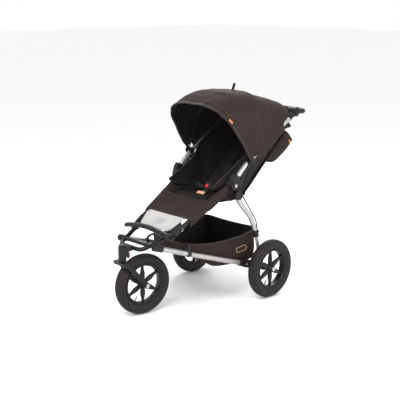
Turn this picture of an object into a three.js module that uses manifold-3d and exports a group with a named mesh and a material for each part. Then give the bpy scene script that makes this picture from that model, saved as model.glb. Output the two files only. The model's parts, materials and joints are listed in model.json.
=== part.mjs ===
// Three-wheel baby stroller. Millimetres, +Z up, the front of the stroller faces -Y and its left is +X.
// Lengths along Y are written from the rear axle; the last step moves the whole part so that the
// frame's origin is the middle of the footprint on the ground.
import * as THREE from 'three';
import { ConvexGeometry } from 'three/addons/geometries/ConvexGeometry.js';
import { mergeVertices } from 'three/addons/utils/BufferGeometryUtils.js';
import Module from 'manifold-3d';

const wasm = await Module();
wasm.setup();
const { Manifold, Mesh: SolidMesh } = wasm;

// ---------------------------------------------------------------- driving dimensions
const GAP = 0.3;               // between parts that touch
const RUN = 0.5;               // radial clearance in a bore that turns
const WHEEL_R = 152.5;         // all three wheels, tyre outside
const TYRE_W = 54;
const TYRE_BEAD_R = 104;       // where the tyre meets the rim
const RIM_OPEN_R = 93;         // inside of the rim
const TRACK = 577;             // between the middles of the rear tyres
const STEER_Y = -746;          // steering axis, from the rear axle
const TRAIL = 1.5 * WHEEL_R - 116.75;   // front axle behind the steering axis, clear of the head
const SWIVEL_DEG = -7.2;       // front wheel at rest
const HEAD_LOW_Z = 289;
const HEAD_TOP_Z = 364;
const FRONT_PIVOT = [-553, 400];    // (y, z) seat tubes turn here on the front frame
const HANDLE_X = 210;          // handle tubes and the tops of the rear legs
const SEAT_TUBE_FRONT_X = 140;
const SEAT_TUBE_REAR_X = HANDLE_X - 28;
const HINGE = [-195, 610];          // (y, z) handle frame turns here on the seat tubes
const HANDLE_BEND = [-112, 706];    // (y, z) where the handle tube bends
const HUB = [262, 937];             // (y, z) handlebar pivot
const HANDLE_TUBE_R = 13;
const BAR_X = HANDLE_X - 30;              // handlebar arms
const BAR_BACK = [388, 927];        // (y, z) of the cross grip
const GRIP_R = 14.5;
const SEAT_TUBE_R = 12;
const SIDE_TUBE_R = 13;
const SIDE_FRONT = [130, -634, 357];
const SIDE_REAR = [214, -103, 181];
const LOOP_R = 11;                  // bent tube of the front frame
const AXLE_R = 10;
const STUB_R = 7;                   // wheel stubs at the ends of the axle
const LEG_R = 12;
const LEG_LOW_R = 9;
const LEG_TOP = [-172, 551];        // (y, z)
const LEG_LOW_X = 240;
const COLLAR_Z = 338;
const BACK_FOOT = [-92, 515];       // (y, z) of the reclining hinge of the backrest
const BACK_DEG = 42.5;
const BACK_LENGTH = 490;
const BACK_HALF = 144;
const BACK_THICK = 18;
const CANOPY_PIVOT = [-90, 722];    // (y, z)
const CANOPY_HALF = HANDLE_X + 26;
const CANOPY_WALL = 4;
const FRONT_BOW_DEG = 124;          // bow planes, turned up from the rear
const MID_BOW_DEG = 74;
const FRONT_BOW_REACH = 348;
const MID_BOW_REACH = 349;
const CROWN_REACH = 340;            // half way between the bows the fabric sags to this
const BASKET_WALL = 4;
const AXLE_Z = 152.5;               // datum: a larger wheel lifts the whole frame

// ---------------------------------------------------------------- shape helpers
const V = (x, y, z) => new THREE.Vector3(x, y, z);
const rad = THREE.MathUtils.degToRad;
const clamp = THREE.MathUtils.clamp;
const CYCLE = new THREE.Matrix4().set(0, 0, 1, 0, 1, 0, 0, 0, 0, 1, 0, 0, 0, 0, 0, 1); // x>y>z>x

function solid(geometry) {
  const bare = new THREE.BufferGeometry();
  const loose = geometry.index ? geometry.toNonIndexed() : geometry;
  bare.setAttribute('position', loose.getAttribute('position').clone());
  const merged = mergeVertices(bare, 1e-3);
  const at = merged.attributes.position.array;
  const tris = [];
  let volume = 0;
  const index = merged.index.array;
  for (let i = 0; i < index.length; i += 3) {
    const [a, b, c] = [index[i], index[i + 1], index[i + 2]];
    if (a === b || b === c || a === c) continue;
    tris.push(a, b, c);
    const [p, q, r] = [a, b, c].map((k) => V(at[3 * k], at[3 * k + 1], at[3 * k + 2]));
    volume += p.dot(q.cross(r));
  }
  if (volume < 0) for (let i = 0; i < tris.length; i += 3) [tris[i], tris[i + 1]] = [tris[i + 1], tris[i]];
  return new Manifold(new SolidMesh({
    numProp: 3, vertProperties: new Float32Array(at), triVerts: new Uint32Array(tris),
  }));
}
const join = (...parts) => Manifold.union(parts.flat());
const cut = (body, ...tools) => body.subtract(join(...tools));

// A convex block through the given [x, y, z] points.
const hull = (points) => solid(new ConvexGeometry(points.map((p) => V(...p))));

// A side outline of [y, z] points, filled from x0 to x1.
function sideProfile(outline, x0, x1) {
  const shape = new THREE.Shape(outline.map(([y, z]) => new THREE.Vector2(y, z)));
  const geometry = new THREE.ExtrudeGeometry(shape, { depth: Math.abs(x1 - x0), bevelEnabled: false });
  geometry.applyMatrix4(CYCLE);
  geometry.translate(Math.min(x0, x1), 0, 0);
  return solid(geometry);
}

// A plain cylinder from x0 to x1 around the line (y, z).
function pinX(r, x0, x1, [y, z], sides = 16, edge = 0) {
  const half = Math.abs(x1 - x0) / 2;
  const outline = [[0, -half], [r - edge, -half], [r, -half + edge], [r, half - edge], [r - edge, half],
      [0, half]];
  const points = (edge ? outline : [outline[0], [r, -half], [r, half], outline[5]]).map(([a,
      b]) => new THREE.Vector2(a, b));
  const geometry = new THREE.LatheGeometry(points, sides);
  geometry.rotateZ(-Math.PI / 2);
  geometry.translate((x0 + x1) / 2, y, z);
  return solid(geometry);
}
function pinZ(r, z0, z1, [x, y], sides = 16) {
  const geometry = new THREE.CylinderGeometry(r, r, z1 - z0, sides);
  geometry.rotateX(Math.PI / 2);
  geometry.translate(x, y, (z0 + z1) / 2);
  return solid(geometry);
}

// A round bar between two points.
function rod(a, b, r, sides = 14) {
  const [from, to] = [V(...a), V(...b)];
  const along = to.clone().sub(from);
  const geometry = new THREE.CylinderGeometry(r, r, along.length(), sides);
  geometry.applyQuaternion(new THREE.Quaternion().setFromUnitVectors(V(0, 1, 0),
      along.clone().normalize()));
  geometry.translate(...from.add(to).multiplyScalar(0.5).toArray());
  return solid(geometry);
}

// A path that hands over exactly the stations it was given, so straight runs stay one long face.
class StationPath extends THREE.Curve {
  constructor(stations) {
    super();
    this.stations = stations;
    this.tangents = stations.map((p, i) => {
      const before = i ? p.clone().sub(stations[i - 1]).normalize() : V(0, 0, 0);
      const after = i < stations.length - 1 ? stations[i + 1].clone().sub(p).normalize() : V(0, 0, 0);
      return before.add(after).normalize();
    });
  }
  index(t) { return Math.round(t * (this.stations.length - 1)); }
  getPoint(t, target = V(0, 0, 0)) { return target.copy(this.stations[this.index(t)]); }
  getPointAt(t, target) { return this.getPoint(t, target); }
  getTangent(t, target = V(0, 0, 0)) { return target.copy(this.tangents[this.index(t)]); }
  getTangentAt(t, target) { return this.getTangent(t, target); }
}

// A bar of round or oval section (r, tall) swept through stations.
function sweep(stations, r, sides, tall = r) {
  const ring = Array.from({ length: sides }, (_, i) => {
    const a = (2 * Math.PI * i) / sides;
    return new THREE.Vector2(tall * Math.cos(a), r * Math.sin(a));
  });
  return solid(new THREE.ExtrudeGeometry(new THREE.Shape(ring), {
    steps: stations.length - 1, bevelEnabled: false, extrudePath: new StationPath(stations),
  }));
}

// A bent bar: straight runs with rounded corners that start `bend` before each corner.
function bentTube(points, r, bend, { sides = 12, turns = 4, tall = r } = {}) {
  const stations = [V(...points[0])];
  for (let i = 1; i < points.length - 1; i++) {
    const [p, q, s] = [points[i - 1], points[i], points[i + 1]].map((k) => V(...k));
    const start = q.clone().add(p.sub(q).normalize().multiplyScalar(bend));
    const end = q.clone().add(s.sub(q).normalize().multiplyScalar(bend));
    stations.push(...new THREE.QuadraticBezierCurve3(start, q, end).getPoints(turns));
  }
  stations.push(V(...points[points.length - 1]));
  return sweep(stations, r, sides, tall);
}

// Flat webbing through points, each with the outward normal of its face.
function webbing(stations, width, thick, across = [1, 0, 0]) {
  const side = V(...across).normalize();
  const corners = stations.map(([p, n]) => {
    const [at, up] = [V(...p), V(...n).normalize()];
    return [-1, 1].flatMap((s) => [0, thick].map((t) => at.clone()
      .add(side.clone().multiplyScalar((s * width) / 2)).add(up.clone().multiplyScalar(t)).toArray()));
  });
  return join(corners.slice(1).map((c, i) => hull([...corners[i], ...c])));
}
const mirrored = (points, s) => points.map(([x, y, z]) => [s * x, y, z]);
const mix = (a, b, t) => a.map((v, i) => v + (b[i] - v) * t);

// ---------------------------------------------------------------- the part
const group = new THREE.Group();
const bodies = [];
function add(name, body, color, roughness = 0.6, metalness = 0) {
  bodies.push([name, body, color, roughness, metalness]);
}
const BLACK = 0x1b1a1a, SILVER = 0xc9cacc, FABRIC = 0x3b322d, RUBBER = 0x2a2523, RED = 0xb5231c;

// ---- wheels
function tyre() {
  const outline = [
    [TYRE_BEAD_R, -18], [TYRE_BEAD_R + 13, -25.5], [TYRE_BEAD_R + 29, -TYRE_W / 2],
    [WHEEL_R - 6, -17], [WHEEL_R, -6], [WHEEL_R, 6], [WHEEL_R - 6, 17],
    [TYRE_BEAD_R + 29, TYRE_W / 2], [TYRE_BEAD_R + 13, 25.5], [TYRE_BEAD_R, 18], [TYRE_BEAD_R, -18],
  ].map(([r, x]) => new THREE.Vector2(r, x));
  const geometry = new THREE.LatheGeometry(outline, 36);
  geometry.rotateZ(-Math.PI / 2);
  return solid(geometry);
}
const SPOKES = 6;
function rim(hubHalf, bore, throughBore) {
  const seat = TYRE_BEAD_R - GAP;
  const outline = [
    [RIM_OPEN_R, -13], [RIM_OPEN_R + 3, -19], [seat, -19], [seat, 19], [RIM_OPEN_R + 3, 19], [RIM_OPEN_R,
        13], [RIM_OPEN_R, -13],
  ].map(([r, x]) => new THREE.Vector2(r, x));
  const ring = new THREE.LatheGeometry(outline, 36);
  ring.rotateZ(-Math.PI / 2);
  const parts = [solid(ring), pinX(20, -hubHalf, hubHalf, [0, 0], 18, 2)];
  for (let i = 0; i < SPOKES; i++) {
    const leaf = [[-7, 12], [-11.5, 40], [-8, 70], [-5.5, RIM_OPEN_R + 2], [5.5, RIM_OPEN_R + 2], [8,
        70], [11.5, 40], [7, 12]];
    const a = Math.PI / 2 + (2 * Math.PI * i) / SPOKES;
    const spoke = leaf.map(([u, v]) => [v * Math.cos(a) - u * Math.sin(a),
        v * Math.sin(a) + u * Math.cos(a)]);
    parts.push(sideProfile(spoke, -6, 6));
  }
  const valve = rad(-62);
  const stem = (r) => [0, r * Math.cos(valve), r * Math.sin(valve)];
  parts.push(rod(stem(RIM_OPEN_R + 3), stem(RIM_OPEN_R - 24), 3.2, 8));
  const hole = throughBore ? pinX(bore, -hubHalf - 1, hubHalf + 1, [0, 0]) : pinX(bore, -hubHalf - 1,
      hubHalf - 6, [0, 0]);
  return cut(join(parts), hole);
}
for (const [side, s] of [['left', 1], ['right', -1]]) {
  const at = (m) => (s > 0 ? m : m.rotate([0, 0, 180])).translate([(s * TRACK) / 2, 0, AXLE_Z]);
  add(`rear_tyre_${side}`, at(tyre()), RUBBER, 0.85);
  add(`rear_rim_${side}`, at(rim(24, STUB_R + RUN, false)), BLACK, 0.5);
  add(`rear_hub_cap_${side}`, at(pinX(12, 24 + GAP, 29, [0, 0], 16, 1.5)), SILVER, 0.35, 0.8);
}

// ---- front wheel and fork, built straight and then turned about the steering axis
const steer = (m) => m.rotate([0, 0, SWIVEL_DEG]).translate([0, STEER_Y, 0]);
const FRONT_HUB_HALF = 30;
const FORK_IN = FRONT_HUB_HALF + 1.5;
const FORK_OUT = FORK_IN + 13;
const frontAt = (m) => steer(m.translate([0, TRAIL, AXLE_Z]));
add('front_tyre', frontAt(tyre()), RUBBER, 0.85);
add('front_rim', frontAt(rim(FRONT_HUB_HALF, STUB_R + RUN, true)), BLACK, 0.5);
const forkSide = [[-24, HEAD_LOW_Z - 1], [8, HEAD_LOW_Z - 1], [26, 268], [TRAIL + 11, AXLE_Z + 8],
    [TRAIL + 12, AXLE_Z - 6],
  [TRAIL + 4, AXLE_Z - 12], [TRAIL - 8, AXLE_Z - 6], [3, 258], [-24, 272]];
const STEM_R = 9;
const fork = join(
  [1, -1].map((s) => sideProfile(forkSide, s * FORK_IN, s * FORK_OUT)),
  [1, -1].map((s) => pinX(15, s * FORK_IN, s * FORK_OUT, [TRAIL, AXLE_Z], 18)),
  sideProfile([[-24, HEAD_LOW_Z - 1], [7, HEAD_LOW_Z - 1], [5, 279], [-20, 274], [-24, 276]],
      -FORK_IN - 1, FORK_IN + 1),
  pinZ(STEM_R, HEAD_LOW_Z - 4, HEAD_TOP_Z + 4, [0, 0]),
  pinZ(17, HEAD_TOP_Z + 0.4, HEAD_TOP_Z + 9, [0, 0]),
);
const frontAxle = [TRAIL, AXLE_Z];
add('fork', steer(cut(fork, pinX(STUB_R + GAP, -FORK_OUT - 1, FORK_OUT + 1, frontAxle))), BLACK, 0.45);
add('front_axle', steer(join(
  pinX(STUB_R, -FORK_OUT - GAP, FORK_OUT + GAP, frontAxle, 14),
  [1, -1].map((s) => pinX(11, s * (FORK_OUT + GAP), s * (FORK_OUT + 6), frontAxle, 16, 1.2)),
)), SILVER, 0.35, 0.8);

// ---- front frame: bent loop, cross member, steering head, clamps for the side tubes
const LOOP_CORNER = [80, -694, 350];
const loopEndX = SEAT_TUBE_FRONT_X - SEAT_TUBE_R - 5;
const loopEnd = [loopEndX, FRONT_PIVOT[0], FRONT_PIVOT[1]];
const loopLine = [loopEnd, LOOP_CORNER];
const loop = bentTube([...loopLine, ...mirrored(loopLine, -1).reverse()], LOOP_R, 30);
const CROSS_AT = mix(LOOP_CORNER, loopEnd, 0.3);
const sideTube = (s, extra = 0) => rod([s * SIDE_FRONT[0], SIDE_FRONT[1], SIDE_FRONT[2]],
  [s * SIDE_REAR[0], SIDE_REAR[1], SIDE_REAR[2]], SIDE_TUBE_R + extra, 16);
const sideDir = V(...SIDE_FRONT).sub(V(...SIDE_REAR)).normalize();
const sideAt = (d) => V(...SIDE_FRONT).add(sideDir.clone().multiplyScalar(d)).toArray();
const LUG_R = 17;
const lugIn = SEAT_TUBE_FRONT_X - 20;
const lugOut = SEAT_TUBE_FRONT_X - 8;
const frontParts = [loop,
  rod(CROSS_AT, [-CROSS_AT[0], CROSS_AT[1], CROSS_AT[2]], 8.5),
  pinZ(20, HEAD_LOW_Z, HEAD_TOP_Z, [0, STEER_Y], 20),
  hull([-1, 1].flatMap((s) => [[s * 15, STEER_Y + 8, HEAD_LOW_Z + 42], [s * 15, STEER_Y + 8,
      HEAD_TOP_Z - 2],
    [s * 24, LOOP_CORNER[1] + 4, LOOP_CORNER[2] - 9], [s * 24, LOOP_CORNER[1] + 4, LOOP_CORNER[2] + 9]])),
];
for (const s of [1, -1]) {
  frontParts.push(pinX(LUG_R, s * lugIn, s * lugOut, FRONT_PIVOT, 18, 1));
  frontParts.push(pinX(6, s * lugIn, s * (SEAT_TUBE_FRONT_X + 15), FRONT_PIVOT, 14));
  frontParts.push(rod(mirrored([sideAt(-26)], s)[0], mirrored([sideAt(26)], s)[0], SIDE_TUBE_R + 3.5, 14));
  frontParts.push(hull([sideAt(-20), sideAt(20)].flatMap(([x, y, z]) => [[s * (x - 4), y, z - 8],
      [s * (x - 4), y, z + 10],
    [s * (x - 22), y - 4, z + 6], [s * (x - 22), y - 4, z + 16]])));
}
const headBore = pinZ(STEM_R + RUN, HEAD_LOW_Z - 1, HEAD_TOP_Z + 1, [0, STEER_Y]);
add('front_frame', cut(join(frontParts), headBore, sideTube(1, GAP), sideTube(-1, GAP)), BLACK, 0.4);
add('swivel_lock_knob', join(
  pinZ(9, HEAD_LOW_Z + 14, HEAD_LOW_Z + 34, [0, STEER_Y + 36]),
  pinZ(5, HEAD_LOW_Z + 7, HEAD_LOW_Z + 40, [0, STEER_Y + 36]),
), 0x5a2320, 0.5);

// ---- bumper bar across the front, standing on the loop
const BUMPER = [152, -592, 419];
add('bumper_bar', cut(
  bentTube([[-BUMPER[0], BUMPER[1], BUMPER[2] - 6], [-95, BUMPER[1], BUMPER[2] + 6], [0, BUMPER[1] + 2,
      BUMPER[2] + 14],
    [95, BUMPER[1], BUMPER[2] + 6], [BUMPER[0], BUMPER[1], BUMPER[2] - 6]], 12, 40, { tall: 18,
        sides: 14, turns: 3 }),
  [1, -1].map((s) => rod(mirrored([mix(loopEnd, LOOP_CORNER, -0.1)], s)[0], mirrored([LOOP_CORNER],
      s)[0], LOOP_R + GAP, 12)),
), BLACK, 0.5);

// ---- side tubes, rear brackets, axle, brake
const BRACKET_IN = 202, BRACKET_OUT = 225;
const bracketSide = [[20, AXLE_Z + 8], [12, AXLE_Z + 20], [-6, AXLE_Z + 26], [SIDE_REAR[1] - 22,
    SIDE_REAR[2] + 26],
  [SIDE_REAR[1] - 34, SIDE_REAR[2] + 12], [SIDE_REAR[1] - 20, SIDE_REAR[2] - 12], [-12, AXLE_Z - 19], [8,
      AXLE_Z - 20], [20, AXLE_Z - 8]];
add('axle_tube', join(
  pinX(AXLE_R, -BRACKET_IN + 1, BRACKET_IN - 1, [0, AXLE_Z], 16),
  pinX(STUB_R, -TRACK / 2 - 16, TRACK / 2 + 16, [0, AXLE_Z], 16),
), SILVER, 0.35, 0.8);
for (const [side, s] of [['left', 1], ['right', -1]]) {
  add(`side_tube_${side}`, sideTube(s), SILVER, 0.35, 0.8);
  add(`rear_bracket_${side}`, cut(
    join(sideProfile(bracketSide, s * BRACKET_IN, s * BRACKET_OUT),
      rod(mirrored([mix(SIDE_REAR, SIDE_FRONT, 0.02)], s)[0], mirrored([mix(SIDE_REAR, SIDE_FRONT,
          0.09)], s)[0], SIDE_TUBE_R + 3.5, 14)),
    sideTube(s, GAP), pinX(STUB_R + GAP, s * (BRACKET_IN - 2), s * (BRACKET_OUT + 2), [0, AXLE_Z]),
  ), BLACK, 0.5);
}
const pedalOutline = [[-6, AXLE_Z + 15], [12, AXLE_Z + 15], [70, AXLE_Z + 6], [76, AXLE_Z], [70,
    AXLE_Z - 5], [16, AXLE_Z - 4], [10, AXLE_Z - 15], [-6, AXLE_Z - 15], [-15, AXLE_Z - 6], [-15,
    AXLE_Z + 6]];
add('brake_pedal', cut(join(
  sideProfile(pedalOutline, -34, 34), pinX(15, -44, 44, [0, AXLE_Z], 18, 1),
), pinX(AXLE_R + RUN, -45, 45, [0, AXLE_Z])), BLACK, 0.5);

// ---- rear legs, with the release cables that run from the hinges to the collars
const CABLE_R = 3.2;
for (const [side, s] of [['left', 1], ['right', -1]]) {
  const path = mirrored([[HANDLE_X, LEG_TOP[0], LEG_TOP[1]], [HANDLE_X + 3, -156, 516], [LEG_LOW_X - 1,
      -104, 440],
    [LEG_LOW_X, -62, COLLAR_Z + 14]], s);
  const low = mirrored([[LEG_LOW_X, -62, COLLAR_Z + 16], [LEG_LOW_X, -22, AXLE_Z + 26]], s);
  const upper = bentTube(path, LEG_R, 17);
  const lower = rod(low[0], low[1], LEG_LOW_R);
  const leg = join(upper, lower);
  const LEG_IN = LEG_LOW_X - 13, LEG_OUT = LEG_LOW_X + 12;
  add(`rear_leg_${side}`, leg, SILVER, 0.35, 0.8);
  const topCap = sideProfile([[-196, 552], [-186, 578], [-176, 582], [-158, 578], [-146, 560], [-146,
      540], [-158, 532], [-182, 536]], s * (HANDLE_X - 14), s * (HANDLE_X + 14));
  add(`leg_top_${side}`, cut(topCap, leg, bentTube(path, LEG_R + GAP, 17),
    rod(path[0], mirrored([[HANDLE_X, LEG_TOP[0] - 4, LEG_TOP[1] + 1.5]], s)[0], LEG_R + GAP)), BLACK, 0.5);
  const collarTop = [s * LEG_LOW_X, -65, COLLAR_Z + 24], collarLow = [s * LEG_LOW_X, -57, COLLAR_Z - 12];
  const cable = bentTube(mirrored([[HANDLE_X, LEG_TOP[0] + 26.4, LEG_TOP[1] - 1],
    [HANDLE_X, LEG_TOP[0] + 40, LEG_TOP[1] - 2], [LEG_LOW_X - 14, -96, 478], [LEG_LOW_X, -62, 414],
    [LEG_LOW_X, -46, COLLAR_Z + 8]], s), CABLE_R, 10, { sides: 10, turns: 3 });
  add(`leg_collar_${side}`, cut(join(rod(collarTop, collarLow, LEG_R + 3, 14), cable,
    rod([s * LEG_LOW_X, -62, COLLAR_Z + 6], [s * LEG_LOW_X, -38, COLLAR_Z + 12], 5, 12)),
    bentTube(path, LEG_R + GAP, 17), rod(low[0], low[1], LEG_LOW_R + GAP)), BLACK, 0.5);
  add(`leg_foot_${side}`, cut(join(
    pinX(20, s * LEG_IN, s * LEG_OUT, [0, AXLE_Z], 18, 1.5),
    rod([s * LEG_LOW_X, -16, AXLE_Z + 10], [s * LEG_LOW_X, -29, AXLE_Z + 52], LEG_LOW_R + 3, 12),
  ), leg, rod(low[0], low[1], LEG_LOW_R + GAP), rod([s * LEG_LOW_X, -22, AXLE_Z + 26 - GAP], low[1],
      LEG_LOW_R + GAP),
    pinX(STUB_R + RUN, s * (LEG_IN - 1), s * (LEG_OUT + 1), [0, AXLE_Z])), BLACK, 0.5);
}

// ---- seat frame: seat tubes, their knuckles, footplate
const seatFront = [SEAT_TUBE_FRONT_X, FRONT_PIVOT[0], FRONT_PIVOT[1]];
const seatRear = [SEAT_TUBE_REAR_X, HINGE[0], HINGE[1]];
const HOUSING_IN = SEAT_TUBE_REAR_X - 9, HOUSING_OUT = SEAT_TUBE_REAR_X + 11.5;
const BOLT_R = 6;
const SLEEVE = [0.2, 0.82];        // stretch of the seat tube covered by the seat
for (const [side, s] of [['left', 1], ['right', -1]]) {
  const [a, b] = mirrored([mix(seatFront, seatRear, 0.05), mix(seatFront, seatRear, 0.93)], s);
  const tube = rod(a, b, SEAT_TUBE_R, 14);
  const fat = rod(mix(a, b, -0.004), mix(a, b, 1.004), SEAT_TUBE_R + GAP, 14);
  add(`seat_tube_${side}`, tube, BLACK, 0.45);
  const kIn = SEAT_TUBE_FRONT_X - 7, kOut = SEAT_TUBE_FRONT_X + 10;
  add(`front_knuckle_${side}`, cut(join(
    pinX(LUG_R, s * kIn, s * kOut, FRONT_PIVOT, 18, 1),
    rod(mirrored([mix(seatFront, seatRear, 0.03)], s)[0], mirrored([mix(seatFront, seatRear, 0.12)],
        s)[0], SEAT_TUBE_R + 3, 14)
      .subtract(pinX(LUG_R + 30, s * (kIn - 40), s * (kIn - 0.01), FRONT_PIVOT)),
  ), fat, pinX(6 + RUN, s * (kIn - 1), s * (kOut + 1), FRONT_PIVOT)), BLACK, 0.45);
  add(`hinge_lower_${side}`, cut(join(
    pinX(25, s * HOUSING_IN, s * HOUSING_OUT, HINGE, 18, 1.5),
    rod(mirrored([mix(seatFront, seatRear, 0.84)], s)[0], mirrored([mix(seatFront, seatRear, 0.98)],
        s)[0], SEAT_TUBE_R + 3.5, 14),
  ), fat, pinX(10, s * (HOUSING_IN - 20), s * HOUSING_IN, HINGE), pinX(BOLT_R + RUN,
      s * (HOUSING_IN - 4), s * (HOUSING_OUT + 9), HINGE),
  sideProfile([[HINGE[0] - 60, HINGE[1] - 60], [HINGE[0] + 60, HINGE[1] - 60], [HINGE[0] + 60,
      HINGE[1] + 60],
    [HINGE[0] - 60, HINGE[1] + 60]], s * HOUSING_OUT, s * (HOUSING_OUT + 20))), BLACK, 0.45);
}

// ---- handle frame: upper knuckles, handle tubes, handlebar housings
const KNUCKLE_IN = HOUSING_OUT + 0.6, KNUCKLE_OUT = HANDLE_X + 13.5;
const handleDir = V(0, HUB[0] - HANDLE_BEND[0], HUB[1] - HANDLE_BEND[1]).normalize();
const handleAt = (d, r = 0) => [HANDLE_BEND[0] + handleDir.y * d - handleDir.z * r,
    HANDLE_BEND[1] + handleDir.z * d + handleDir.y * r];
const handleLength = Math.hypot(HUB[0] - HANDLE_BEND[0], HUB[1] - HANDLE_BEND[1]);
const HANDLE_LOW = [-181, 641];
const ROTOR_OUT = HANDLE_X - HANDLE_TUBE_R - 1, ROTOR_IN = BAR_X - 12;   // ends of the handlebar
for (const [side, s] of [['left', 1], ['right', -1]]) {
  const X = s * HANDLE_X;
  const top = handleAt(handleLength - 20);
  const tube = bentTube([[X, ...HANDLE_LOW], [X, ...HANDLE_BEND], [X, ...top]], HANDLE_TUBE_R, 40,
      { sides: 14 });
  const fat = join(bentTube([[X, ...HANDLE_LOW], [X, ...HANDLE_BEND], [X, ...top]], HANDLE_TUBE_R + GAP,
      40, { sides: 14 }),
    rod([X, HANDLE_LOW[0] - 0.2, HANDLE_LOW[1] - 0.25], [X, HANDLE_LOW[0] + 10, HANDLE_LOW[1] + 9.4],
        HANDLE_TUBE_R + GAP, 14));
  add(`handle_tube_${side}`, tube, SILVER, 0.35, 0.8);
  const strut = [[-184, 618], [-170, 596], [-152, 606], [-136, 640], [-112, 678], [-84, 694], [-70, 702],
      [-84, 728], [-100, 718], [-128, 682], [-160, 640]];
  add(`hinge_upper_${side}`, cut(join(
    pinX(25, s * KNUCKLE_IN, s * KNUCKLE_OUT, HINGE, 18, 1.5),
    sideProfile([[-216, 618], [-205, 655], [-190, 668], [-164, 652], [-172, 604]], s * KNUCKLE_IN,
        s * KNUCKLE_OUT),
    sideProfile(strut, s * (HANDLE_X - 11), s * KNUCKLE_OUT),
    rod([X, ...handleAt(8)], [X, ...handleAt(36)], HANDLE_TUBE_R + 3, 14),
  ), fat, sideProfile([[-140, 660], [-40, 660], [-40, 780], [-140, 780]], s * KNUCKLE_OUT,
      s * (KNUCKLE_OUT + 9)), pinX(BOLT_R + GAP, s * (KNUCKLE_IN - 1), s * (KNUCKLE_OUT + 1), HINGE)),
      BLACK, 0.45);
  add(`hinge_bolt_${side}`, join(
    pinX(BOLT_R, s * (HOUSING_IN - 0.5), s * (KNUCKLE_OUT + 1), HINGE, 14),
    pinX(9, s * (KNUCKLE_OUT + GAP), s * (KNUCKLE_OUT + 3), HINGE, 14),
    pinX(9, s * (HOUSING_IN - GAP), s * (HOUSING_IN - 3), HINGE, 14),
  ), SILVER, 0.3, 0.9);
  const pocket = pinX(12, s * (HANDLE_X + 6), s * (HANDLE_X + 20), HUB);
  add(`bar_housing_${side}`, cut(join(
    pinX(25, s * (HANDLE_X - HANDLE_TUBE_R - 0.4), s * (HANDLE_X + 14), HUB, 20, 2),
    rod([X, ...handleAt(handleLength - 58)], [X, ...handleAt(handleLength - 18)], HANDLE_TUBE_R + 3, 14),
  ), rod([X, ...handleAt(handleLength - 80)], [X, ...handleAt(handleLength - 20 + GAP)],
      HANDLE_TUBE_R + 0.55, 14), pocket,
    pinX(24.5, s * (ROTOR_IN - 5), s * (HANDLE_X - HANDLE_TUBE_R - 0.4), HUB, 20)), BLACK, 0.45);
  add(`bar_button_${side}`, pinX(11.5, s * (HANDLE_X + 10), s * (HANDLE_X + 17), HUB, 18, 1), BLACK, 0.4);
}

// ---- handlebar: two round ends, arms and one foam-covered cross grip
const barPath = [[BAR_X, ...HUB], [BAR_X, ...BAR_BACK], [-BAR_X, ...BAR_BACK], [-BAR_X, ...HUB]];
add('handlebar', join(
  bentTube(barPath, GRIP_R, 42, { sides: 14, turns: 5 }),
  [1, -1].map((s) => pinX(23, s * ROTOR_IN, s * ROTOR_OUT, HUB, 20, 2)),
), BLACK, 0.7);

// ---- footplate with its two side brackets, held by the seat tubes
const FOOT_TOP = [130, -459, 470], FOOT_LOW = [109, -543, 418];
const footNormal = V(0, -(FOOT_TOP[2] - FOOT_LOW[2]), FOOT_TOP[1] - FOOT_LOW[1]).normalize();
const plate = (half, lift, grow) => [FOOT_TOP, FOOT_LOW].flatMap((p, i) => [1, -1].flatMap((s) => [0,
    1].map((k) => {
  const corner = grow * (k ? 0 : 12), slide = (k ? 12 : 0) * grow;
  const d = V(0, FOOT_TOP[1] - FOOT_LOW[1], FOOT_TOP[2] - FOOT_LOW[2]).normalize();
  const at = V(s * (p[0] - corner), p[1], p[2]).addScaledVector(d,
      i ? slide : -slide).addScaledVector(footNormal, lift);
  return at.toArray();
})));
add('footplate', hull([...plate(0, 0, 1), ...plate(0, 6, 1)]), SILVER, 0.45, 0.3);
for (const [side, s] of [['left', 1], ['right', -1]]) {
  const under = (t, inset, lift) => {
    const p = mix(FOOT_TOP, FOOT_LOW, t);
    return V(s * (p[0] - inset), p[1], p[2]).addScaledVector(footNormal, lift).toArray();
  };
  const seatAt = (t, dx, dz) => { const p = mix(seatFront, seatRear, t); return [s * (p[0] + dx), p[1],
      p[2] + dz]; };
  const arm = hull([under(0.2, 30, -GAP), under(0.75, 30, -GAP), under(0.2, 30, -8), under(0.75, 30, -8),
    under(0.2, 2, -GAP), under(0.75, 2, -GAP), seatAt(0.08, -2, -8), seatAt(0.19, -2, -8), seatAt(0.08,
        -2, -20), seatAt(0.19, -2, -20)]);
  const [a, b] = mirrored([mix(seatFront, seatRear, 0.05), mix(seatFront, seatRear, 0.93)], s);
  const [bandLow, bandHigh, stopLow, stopHigh] = mirrored(
    [0.125, 0.185, 0, 0.1212].map((t) => mix(seatFront, seatRear, t)), s);
  const band = rod(bandLow, bandHigh, SEAT_TUBE_R + 3, 14);
  add(`footplate_bracket_${side}`, cut(join(arm, band), rod(a, b, SEAT_TUBE_R + GAP, 14),
    rod(stopLow, stopHigh, SEAT_TUBE_R + 3 + GAP, 14)), BLACK, 0.5);
}

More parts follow.
